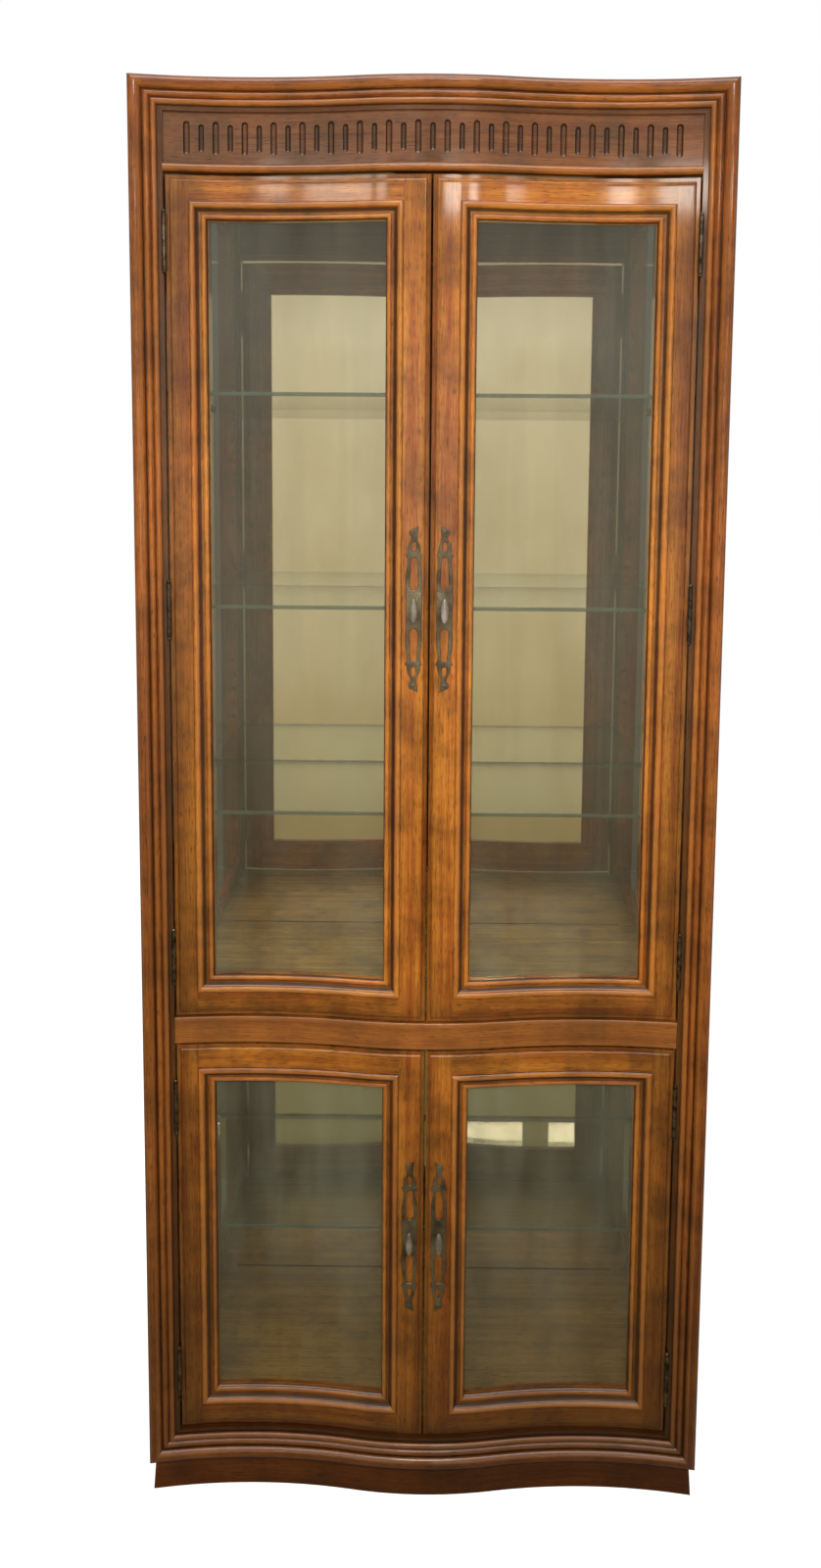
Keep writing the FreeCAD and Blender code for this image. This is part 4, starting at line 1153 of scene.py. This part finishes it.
class CABINET_OT_glazing(bpy.types.Operator):
    """Run the glazing mouldings and stops round the panes, and bend the glass"""
    bl_idname = "cabinet.glazing"
    bl_label = "Glazing and Door Glass"

    gap = 0.3*MM
    pane = 3.0*MM
    glass_pitch = 5.0*MM
    stop_pitch = 10.0*MM
    stop_length_pitch = 60.0*MM

    # The numbers that tell the timber of level and upright stops apart, added to the door's
    level_seed, upright_seed = 5, 6

    def execute(self, context):
        sizes = context.scene.cabinet_sizes
        section = glazing_profile(sizes.profile_pitch/MM)
        relief = profile_relief(section, sizes, 1.7, 1.2)
        pane_front = -(GLAZING_DEPTH + self.gap)
        for door, side, seed in DOORS:
            stem = door + "_door_"
            low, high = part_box(stem + "glazing")
            corners = (low.x, high.x, low.z, high.z)
            shells = [moulding(section, relief, edge, corners, seed + number, sizes)
                      for number, edge in enumerate(("top", "foot", "left", "right"))]
            shells += self.stops(corners, seed, pane_front - self.pane - self.gap)
            piece(door + "_glazing_bead", shells, stem[:-1], "door_wood",
                  [stem + "glazing"])
            low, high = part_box(stem + "glass")
            shell = board(lines(low.x, high.x, self.glass_pitch), np.array([low.z, high.z]),
                          level_front(pane_front), level_front(pane_front - self.pane),
                          False, 0.0)
            piece(door + "_pane", [shell], stem[:-1], "window_glass", [stem + "glass"])
        return {"FINISHED"}

    def stops(self, corners, seed, stand):
        """Four flat strips behind the pane, flush with the back of the door."""
        left, right, foot, top = corners
        wide = GLAZING_WIDTH
        face, back = level_front(stand), level_front(-DOOR_THICKNESS)
        shells = [board(lines(left, right, self.stop_pitch), np.array([low, low + wide]),
                        face, back, False, seed + self.level_seed)
                  for low in (top - wide, foot)]
        height = lines(foot + wide, top - wide, self.stop_length_pitch)
        return shells + [board(lines(low, low + wide, self.stop_pitch), height, face, back,
                               True, seed + self.upright_seed)
                         for low in (left, right - wide)]


class CABINET_OT_pulls(bpy.types.Operator):
    """Cut the pierced pull plates and turn the oval knobs"""
    bl_idname = "cabinet.pulls"
    bl_label = "Pulls"

    half_width = 11.5*MM
    half_length = 117.5*MM
    edge_pitch = 1.2*MM
    plate_crease = 50

    # Shares of half the width and half the length, going round the upper half
    half_shares = (
        ((1.0, 0.209),), ((0.9, 0.214),), ((1.01, 0.33), (0.88, 0.48)),
        ((0.78, 0.54), (0.76, 0.6)), ((1.08, 0.66),), ((0.76, 0.672),),
        ((0.78, 0.725), (0.58, 0.785)), ((0.38, 0.825), (0.3, 0.87)),
        ((0.6, 0.915), (0.25, 0.958)), ((-0.12, 0.967), (-0.52, 1.0)),
        ((-0.5, 0.95), (-0.38, 0.87)), ((-0.42, 0.825), (-0.58, 0.785)),
        ((-0.78, 0.725), (-0.76, 0.672)), ((-1.08, 0.66),), ((-0.76, 0.6),),
        ((-0.78, 0.54), (-0.88, 0.48)), ((-1.01, 0.33), (-0.9, 0.214)),
        ((-1.0, 0.209),), ((-1.0, 0.0),),
    )
    loop_shares = (
        ((0.0, 0.23),), ((0.36, 0.25), (0.49, 0.32)), ((0.46, 0.47), (0.33, 0.617)),
        ((-0.33, 0.617),), ((-0.46, 0.47), (-0.49, 0.32)), ((-0.36, 0.25), (0.0, 0.23)),
    )
    eye_shares = (
        ((0.0, 0.69),), ((0.22, 0.7), (0.28, 0.735)), ((0.2, 0.79), (0.0, 0.815)),
        ((-0.2, 0.79), (-0.28, 0.735)), ((-0.22, 0.7), (0.0, 0.69)),
    )

    # Nail heads: where they sit, as shares of the half sizes, how high they dome, as a share
    # of their radius, and how far they are sunk
    nail_side_share, nail_end_share, dome_share = 0.03, 0.915, 0.55
    nail_sink = 0.4*MM
    nail_sides = 20

    # The knob is an egg by this share, drawn in over the other, and its stem has a waist
    egg_share, girth_share = 0.06, 1.03
    waist, flare, flare_power = 2.6*MM, 1.6*MM, 2.5
    knob_sides, stem_sides = 48, 32
    knob_crease = 60

    def line(self, shares, pitch):
        """Points in metres along steps given as shares, scaled before arcs are taken."""
        scale = np.array([self.half_width, self.half_length])/MM
        steps = [tuple(tuple(np.array(point)*scale) for point in step) for step in shares]
        points = outline(steps, np.zeros((0, 2)), pitch/MM)
        apart = np.linalg.norm(points - np.roll(points, 1, axis=0), axis=1) > MM/50
        return points[apart]

    def outlines(self, pitch):
        """The plate's edge and its four holes, the lower half mirrored from the upper."""
        upper = self.line(self.half_shares, pitch)
        flip = np.array([1, -1])
        edge = np.concatenate([upper, (upper*flip)[::-1][1:-1]])
        holes = [self.line(shares, pitch) for shares in (self.loop_shares, self.eye_shares)]
        return [edge] + holes + [hole*flip for hole in holes]

    def plate(self, name, low, high, side, sizes):
        """A flat curve with holes, made thick with rounded edges, then made a mesh."""
        curve = bpy.data.curves.new(name, "CURVE")
        curve.dimensions = "2D"
        curve.fill_mode = "BOTH"
        for points in self.outlines(self.edge_pitch):
            spline = curve.splines.new("POLY")
            spline.points.add(len(points) - 1)
            flat = np.column_stack([side*points[:, 0], points[:, 1], 0*points[:, 0],
                                    0*points[:, 0] + 1])
            spline.points.foreach_set("co", flat.ravel())
            spline.use_cyclic_u = True
        curve.bevel_depth = sizes.plate_round
        curve.bevel_resolution = 4
        curve.offset = -sizes.plate_round
        curve.extrude = (high.y - low.y)/2 - sizes.plate_round
        flat = bpy.data.objects.new(name + "_flat", curve)
        mesh = bpy.data.meshes.new_from_object(flat)
        bpy.data.objects.remove(flat)
        middle = (low + high)/2
        mesh.transform(Matrix(((1, 0, 0, middle.x), (0, 0, -1, middle.y),
                               (0, 1, 0, middle.z), (0, 0, 0, 1))))
        weld_mesh(mesh)
        mesh.attributes.new("relief", "FLOAT", "POINT")
        return mesh

    def execute(self, context):
        sizes = context.scene.cabinet_sizes
        for door, side, seed in DOORS:
            body = door + "_door"
            low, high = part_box(body + "_pull_plate")
            name = door + "_pull_escutcheon"
            dress(name, self.plate(name, low, high, side, sizes), self.plate_crease, body,
                  "antique_brass", [body + "_pull_plate"])
            self.nails(door, body, low, high, side, sizes)
            self.knob(door, body, low.y)
        return {"FINISHED"}

    def nails(self, door, body, low, high, side, sizes):
        """Domed nail heads in the balls at both ends of a plate.

        At the angle b from its rim a dome's radius is nail_radius*cos(b), and it stands
        nail_radius*dome_share*sin(b) out.
        """
        middle = (low + high)/2
        bend = np.radians(np.linspace(0, 88, 9))
        radii = np.append(sizes.nail_radius*np.cos(bend), 0.0)
        rise = np.append(np.sin(bend), 1.0)*sizes.nail_radius*self.dome_share
        shells = [turned((middle.x + side*self.nail_side_share*self.half_width,
                          low.y + self.nail_sink,
                          middle.z + end*self.nail_end_share*self.half_length),
                         1, radii, -rise, self.nail_sides) for end in (1, -1)]
        piece(door + "_pull_nails", shells, body, "antique_brass", [], weld=True)

    def knob(self, door, body, y_plate):
        """An upright oval knob on a waisted stem.

        At the angle b from its upper pole the oval lies half_height*cos(b) above its centre,
        and its radius is half_width*sin(b), times 1 - egg_share*cos(b), over girth_share.
        The stem's radius grows towards both ends.
        """
        low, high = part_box(body + "_pull_knob")
        middle, half = (low + high)/2, (high - low)/2
        bend = np.radians(np.linspace(0, 180, 41))
        girth = half.x*np.sin(bend)*(1 - self.egg_share*np.cos(bend))/self.girth_share
        oval = turned((middle.x, low.y + half.x, middle.z), 2, girth, half.z*np.cos(bend),
                      self.knob_sides)
        share = np.linspace(0, 1, 15)
        waist = self.waist + self.flare*np.abs(2*share - 1)**self.flare_power
        stem = turned((middle.x, y_plate, middle.z), 1, waist,
                      -share*(y_plate - low.y - half.x), self.stem_sides)
        piece(door + "_oval_knob", [oval, stem], body, "burnished_brass",
              [body + "_pull_knob"], self.knob_crease, weld=True)


class CABINET_OT_case(bpy.types.Operator):
    """Make the side frames, mirrors and shelves, and finish the flat boards"""
    bl_idname = "cabinet.case"
    bl_label = "Case, Mirrors and Shelves"

    post_depth = 40.0*MM
    rail_height = 70.0*MM
    floor_thickness = 20.0*MM
    mirror_crease = 0.5

    # The numbers that tell the timber of posts and rails apart, with a step for the side
    post_seed, rail_seed, side_seed = 41.0, 51.0, 5

    shelves = ("upper_shelf_top", "upper_shelf_middle", "upper_shelf_bottom", "lower_shelf")
    shown_nodes = (("top_panel", "board_wood"), ("upper_floor", "floor_wood"),
                   ("lower_floor", "floor_wood"), ("plinth_returns", "dark_return"),
                   ("back_panel", "fibre_board"), ("side_glass", "window_glass"))

    def execute(self, context):
        sizes = context.scene.cabinet_sizes
        self.sides(sizes)
        self.mirrors(sizes)
        for node in self.shelves:
            shell = bar(*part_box(node), 0, sizes.glass_ease, 0.0)
            piece(node.replace("shelf", "glass_plate"), [shell], "root", "plate_glass",
                  [node])
        for node, finish in self.shown_nodes:
            refinish(node, finish)
        return {"FINISHED"}

    def sides(self, sizes):
        """Two posts and three rails a side, butted, with eased edges."""
        floor_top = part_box("upper_floor")[1].z
        for side, end in ((1, "right"), (-1, "left")):
            low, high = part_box("side_frame_" + end)
            fore, aft = low.y + self.post_depth, high.y - self.post_depth
            seed = self.side_seed*side
            shells = [bar((low.x, start, low.z), (high.x, start + self.post_depth, high.z), 2,
                          sizes.ease, self.post_seed + number + seed)
                      for number, start in enumerate((low.y, aft))]
            feet = (low.z, floor_top - (self.rail_height + self.floor_thickness)/2,
                    high.z - self.rail_height)
            shells += [bar((low.x, fore + sizes.joint, foot),
                           (high.x, aft - sizes.joint, foot + self.rail_height), 1,
                           sizes.ease, self.rail_seed + number + seed)
                       for number, foot in enumerate(feet)]
            piece(end + "_side_framing", shells, "root", "frame_wood",
                  ["side_frame_" + end])

    def mirrors(self, sizes):
        """Two mirrors whose front edges fall back over a bevel."""
        low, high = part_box("back_mirrors")
        floor_foot, floor_top = [corner.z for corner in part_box("upper_floor")]
        wide = sizes.mirror_bevel
        shells = []
        for foot, top in ((floor_top, high.z), (low.z, floor_foot)):
            def face(x, z):
                """The bevel's fall, evenly less from the edge to the bevel's width."""
                away = np.minimum(np.minimum(x - low.x, high.x - x),
                                  np.minimum(z - foot, top - z))
                return low.y + sizes.mirror_fall*(1 - np.clip(away/wide, 0, 1))

            def back(x, z):
                return high.y

            shells.append(board(
                np.array([low.x, low.x + wide, high.x - wide, high.x]),
                np.array([foot, foot + wide, top - wide, top]), face, back, True, 0.0))
        piece("bevelled_mirrors", shells, "root", "silvered_mirror", ["back_mirrors"],
              self.mirror_crease)


class CABINET_OT_hardware(bpy.types.Operator):
    """Finish the hinges, screws, shelf pins and catches"""
    bl_idname = "cabinet.hardware"
    bl_label = "Hinges, Pins and Catches"

    def execute(self, context):
        fittings = [door + "_door_fittings" for door, side, seed in DOORS]
        for node in ["hinge_frame_screws", "hinge_frame_leaves", "hinge_pins"] + fittings:
            refinish(node, "oxidised_bronze")
        refinish("shelf_pins", "plated_nickel")
        refinish("magnet_catches", "moulded_catch")
        return {"FINISHED"}


class CABINET_OT_stage(bpy.types.Operator):
    """Set the floor, the set that the mirrors reflect, the lamps, the sky and the camera"""
    bl_idname = "cabinet.stage"
    bl_label = "Stage"

    # Lamps: name, place, aim, width and height, and the setting of their power
    lamps = (
        ("key_lamp", (-1.1, -2.7, 3.0), (0, 0, 1.25), (1.5, 1.0), "key_power"),
        ("fill_lamp", (1.9, -2.6, 1.9), (0, 0, 1.0), (1.4, 1.8), "fill_power"),
        ("front_lamp", (0.0, -1.45, 1.55), (0, 0, 1.55), (0.6, 0.6), "front_power"),
        ("left_rear_lamp", (-2.9, 1.6, 1.8), (0, 0.1, 1.0), (1.2, 1.6), "rear_power"),
        ("right_rear_lamp", (2.9, 1.6, 1.8), (0, 0.1, 1.0), (1.2, 1.6), "rear_power"),
    )
    floor_reach = 30.0
    floor_glow = 0.8

    # Colours by the share of the way along the set's parts
    beige = ((0.0, "#857a55"), (0.12, "#94835a"), (0.4, "#ad9a70"), (0.5, "#b9a47c"),
             (0.6, "#d0c09a"), (0.8, "#ebe0c4"), (0.86, "#faf1da"), (1.0, "#b0a080"))
    grey = ((0.0, "#50565c"), (0.3, "#6c747e"), (1.0, "#5f6973"))
    dark = ((0.0, "#201a14"), (1.0, "#201a14"))
    white = ((0.0, "#fff4e6"), (1.0, "#fff4e6"))

    # The set: half its width, its wall's distance and height, how near its floor comes and
    # how high that lies, and the bend between the two
    set_half, set_back, set_top, set_near, set_lift, set_bend = 2.0, 3.8, 3.4, 0.25, 0.003, 0.6

    # Strengths of the two wings and the flags, and where the flags and the column stand
    wing_strengths = (("left", -1, 1.1), ("right", 1, 1.8))
    flag_inner, flag_outer, flag_front, flag_strength = 0.47, 0.8, 0.5, 0.8
    column_half, column_front = 0.08, 1.95

    # Wall lights: left, right, foot, top and strength, all a little off the wall
    wall_lights = ((-1.5, -1.12, 2.76, 2.9, 9.0), (-1.02, -0.84, 2.76, 2.9, 9.0),
                   (0.22, 0.52, 2.7, 2.87, 16.0), (0.66, 0.81, 2.7, 2.87, 16.0),
                   (1.36, 1.6, 2.76, 2.9, 9.0))
    light_off = 0.05

    # Lights overhead: name, half width, nearest and furthest y, height and strength
    high_lights = (("overhead_light", 1.5, -0.7, -1.5, 3.3, 7.0),
                   ("crown_light", 0.3, -1.25, -1.5, 2.5, 26.0))

    def execute(self, context):
        studio = context.scene.cabinet_studio
        context.scene.view_settings.view_transform = "Standard"
        self.camera(context, studio)
        self.floor(context, studio)
        self.wall(context)
        for name, x, y, z, stops, strength in self.flat_parts():
            self.lit_set(context, name, grid(x, y, z), stops, strength)
        for name, place, aim, extent, setting in self.lamps:
            self.lamp(context, name, place, aim, extent, getattr(studio, setting))
        self.sky(context, studio)
        return {"FINISHED"}

    def camera(self, context, studio):
        """The photograph's view: turned, tipped down and rolled about its own axis."""
        across = np.array([np.cos(studio.turn), -np.sin(studio.turn), 0])
        level = np.array([np.sin(studio.turn), np.cos(studio.turn), 0])
        up_axis = np.array([0, 0, 1])
        ahead = level*np.cos(studio.tip) - up_axis*np.sin(studio.tip)
        up = level*np.sin(studio.tip) + up_axis*np.cos(studio.tip)
        right = across*np.cos(studio.roll) + up*np.sin(studio.roll)
        top = up*np.cos(studio.roll) - across*np.sin(studio.roll)
        place = (studio.camera_side, FACE_Y - studio.camera_back, studio.camera_height)
        data = bpy.data.cameras.new("camera")
        data.lens = studio.lens
        data.shift_x = studio.shift_x
        data.shift_y = studio.shift_y
        data.clip_end = 50
        thing = bpy.data.objects.new("camera", data)
        columns = np.column_stack([right, top, -ahead, place])
        thing.matrix_world = Matrix([*columns.tolist(), [0, 0, 0, 1]])
        context.scene.collection.objects.link(thing)
        context.scene.camera = thing

    def sheet(self, context, name, points, material):
        """An open grid of points as a stage piece, which keeps each row's share of the way."""
        mesh = bpy.data.meshes.new(name)
        rows, cols = points.shape[:2]
        mesh.from_pydata(points.reshape(-1, 3), [], grid_faces(rows, cols, False))
        share = mesh.attributes.new("share", "FLOAT", "POINT")
        share.data.foreach_set("value", np.repeat(np.linspace(0, 1, rows), cols))
        mesh.materials.append(material)
        mesh.shade_smooth()
        thing = bpy.data.objects.new(name, mesh)
        context.scene.collection.objects.link(thing)
        return thing

    def floor(self, context, studio):
        """A pale floor, white to the camera where no shadow falls, and duller to the rest."""
        material, tree, surface = blank("pale_floor")
        path = add(tree, "LightPath")
        dull = add(tree, "BsdfDiffuse", {"Color": rgba(studio.floor_dull)})
        matt = add(tree, "BsdfDiffuse", {"Color": rgba(studio.floor_seen)})
        glow = add(tree, "Emission", {"Color": (1, 1, 1, 1), "Strength": self.floor_glow})
        both = add(tree, "AddShader", {0: matt.outputs[0], 1: glow.outputs[0]})
        seen = add(tree, "MixShader", {0: path.outputs["Is Camera Ray"],
                                       1: dull.outputs[0], 2: both.outputs[0]})
        tree.links.new(seen.outputs[0], surface)
        line = np.linspace(-self.floor_reach, self.floor_reach, 3)
        self.sheet(context, "floor", grid(line, line[:, None], 0.0), material)

    def wall(self, context):
        """The middle of the set round the front of the cabinet.

        It lies on the floor, turns up in a quarter circle and stands as a beige wall, with
        its light set along that line, darker near the cabinet.
        """
        bend = np.radians(np.linspace(0, 90, 9))[1:]
        turn_y = self.set_bend - self.set_back
        turn_z = self.set_bend + self.set_lift
        rise_from = 0.75
        y = np.concatenate([np.linspace(-self.set_near, turn_y, 16),
                            turn_y - self.set_bend*np.sin(bend), np.full(12, -self.set_back)])
        z = np.concatenate([np.full(16, self.set_lift), turn_z - self.set_bend*np.cos(bend),
                            np.linspace(rise_from, self.set_top, 12)])
        x = np.linspace(-self.set_half, self.set_half, 5)
        self.lit_set(context, "beige_set", grid(x, y[:, None], z[:, None]), self.beige, 1.0)

    def flat_parts(self):
        """The flat parts of the set: name, x, y and z, colours and strength.

        Two grey wings stand at its sides, and two flags keep the strip lights out of the
        side glass. A dark column before the middle makes a darker band in the mirrors. Five
        strip lights hang high on the wall, where the top rails and the lower shelf mirror
        them, and two hang overhead, for the upper edges of rails, beads and knobs.
        """
        rise = np.linspace(0.0, self.set_top, 12)[:, None]
        run = np.linspace(-self.set_back, self.set_half, 5)
        flag = np.linspace(self.flag_inner, self.flag_outer, 3)
        parts = []
        for end, side, strength in self.wing_strengths:
            parts.append((end + "_wing", side*self.set_half, run, rise, self.grey, strength))
            parts.append((end + "_flag", side*flag, -self.flag_front, rise, self.grey,
                          self.flag_strength))
        column = np.linspace(-self.column_half, self.column_half, 3)
        parts.append(("camera_column", column, -self.column_front, rise, self.dark, 1.0))
        for index, (left, right, foot, top, strength) in enumerate(self.wall_lights):
            parts.append(("wall_light_%d" % index, np.linspace(left, right, 3),
                          self.light_off - self.set_back, np.linspace(foot, top, 3)[:, None],
                          self.white, strength))
        for name, half, near, far, height, strength in self.high_lights:
            parts.append((name, np.linspace(-half, half, 3),
                          np.linspace(near, far, 3)[:, None], height, self.white, strength))
        return parts

    def lit_set(self, context, name, points, stops, strength):
        """A part of the set that shines by its own light, by colours along its rows.

        Only mirrors, glass, metal and lacquer see it.
        """
        material, tree, surface = blank(name)
        share = add(tree, "Attribute", attribute_name="share").outputs["Fac"]
        ramp = add(tree, "ValToRGB", {"Fac": share})
        marks = ramp.color_ramp.elements
        for index, (place, hex_colour) in enumerate(stops):
            mark = marks[index] if index < 2 else marks.new(place)
            mark.position = place
            mark.color = rgba(linear(hex_colour))
        glow = add(tree, "Emission", {"Color": ramp.outputs[0], "Strength": strength})
        tree.links.new(glow.outputs[0], surface)
        thing = self.sheet(context, name, points, material)
        thing.visible_camera = False
        thing.visible_diffuse = False
        thing.visible_shadow = False

    def lamp(self, context, name, place, aim, extent, watts):
        """A soft rectangular lamp aimed at a point, which mirrors and lacquer don't show."""
        data = bpy.data.lights.new(name, "AREA")
        data.shape = "RECTANGLE"
        data.size, data.size_y = extent
        data.energy = watts
        thing = bpy.data.objects.new(name, data)
        turn = (Vector(aim) - Vector(place)).to_track_quat("-Z", "Y")
        thing.matrix_world = Matrix.Translation(place) @ turn.to_matrix().to_4x4()
        thing.visible_camera = False
        thing.visible_glossy = False
        context.scene.collection.objects.link(thing)

    def sky(self, context, studio):
        """An even sky, which the camera, metal and glass see as white."""
        world = bpy.data.worlds.new("studio")
        world.use_nodes = True
        tree = world.node_tree
        tree.nodes.clear()
        path = add(tree, "LightPath")
        seen = path.outputs["Is Camera Ray"]
        for ray in ("Is Glossy Ray", "Is Transmission Ray"):
            seen = add(tree, "Math", {0: seen, 1: path.outputs[ray]},
                       operation="MAXIMUM").outputs[0]
        light = add(tree, "Background", {"Color": (1, 1, 1, 1), "Strength": studio.sky})
        white = add(tree, "Background", {"Color": (1, 1, 1, 1), "Strength": 1.0})
        mixed = add(tree, "MixShader", {0: seen, 1: light.outputs[0], 2: white.outputs[0]})
        output = add(tree, "OutputWorld")
        tree.links.new(mixed.outputs[0], output.inputs["Surface"])
        context.scene.world = world


STEPS = (CABINET_OT_stage, CABINET_OT_frame, CABINET_OT_frieze, CABINET_OT_rails,
         CABINET_OT_doors, CABINET_OT_glazing, CABINET_OT_pulls, CABINET_OT_case,
         CABINET_OT_hardware)


class CABINET_PT_panel(bpy.types.Panel):
    """Lists the settings, and the steps in the order in which they are run"""
    bl_idname = "CABINET_PT_panel"
    bl_label = "Display Cabinet"
    bl_space_type = "VIEW_3D"
    bl_region_type = "UI"
    bl_category = "Cabinet"

    def draw(self, context):
        for group in (context.scene.cabinet_sizes, context.scene.cabinet_finishes,
                      context.scene.cabinet_studio):
            box = self.layout.box()
            for key in group.__annotations__:
                box.prop(group, key)
        for step in STEPS:
            self.layout.operator(step.bl_idname)


CLASSES = (CabinetSizes, CabinetFinishes, StudioSettings, *STEPS, CABINET_PT_panel)


def register():
    for entry in CLASSES:
        bpy.utils.register_class(entry)
    bpy.types.Scene.cabinet_sizes = PointerProperty(type=CabinetSizes)
    bpy.types.Scene.cabinet_finishes = PointerProperty(type=CabinetFinishes)
    bpy.types.Scene.cabinet_studio = PointerProperty(type=StudioSettings)


def unregister():
    del bpy.types.Scene.cabinet_studio
    del bpy.types.Scene.cabinet_finishes
    del bpy.types.Scene.cabinet_sizes
    for entry in reversed(CLASSES):
        bpy.utils.unregister_class(entry)


def main():
    """Register the add-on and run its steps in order."""
    register()
    for step in STEPS:
        group, name = step.bl_idname.split(".")
        getattr(getattr(bpy.ops, group), name)()


if __name__ == "__main__":
    main()
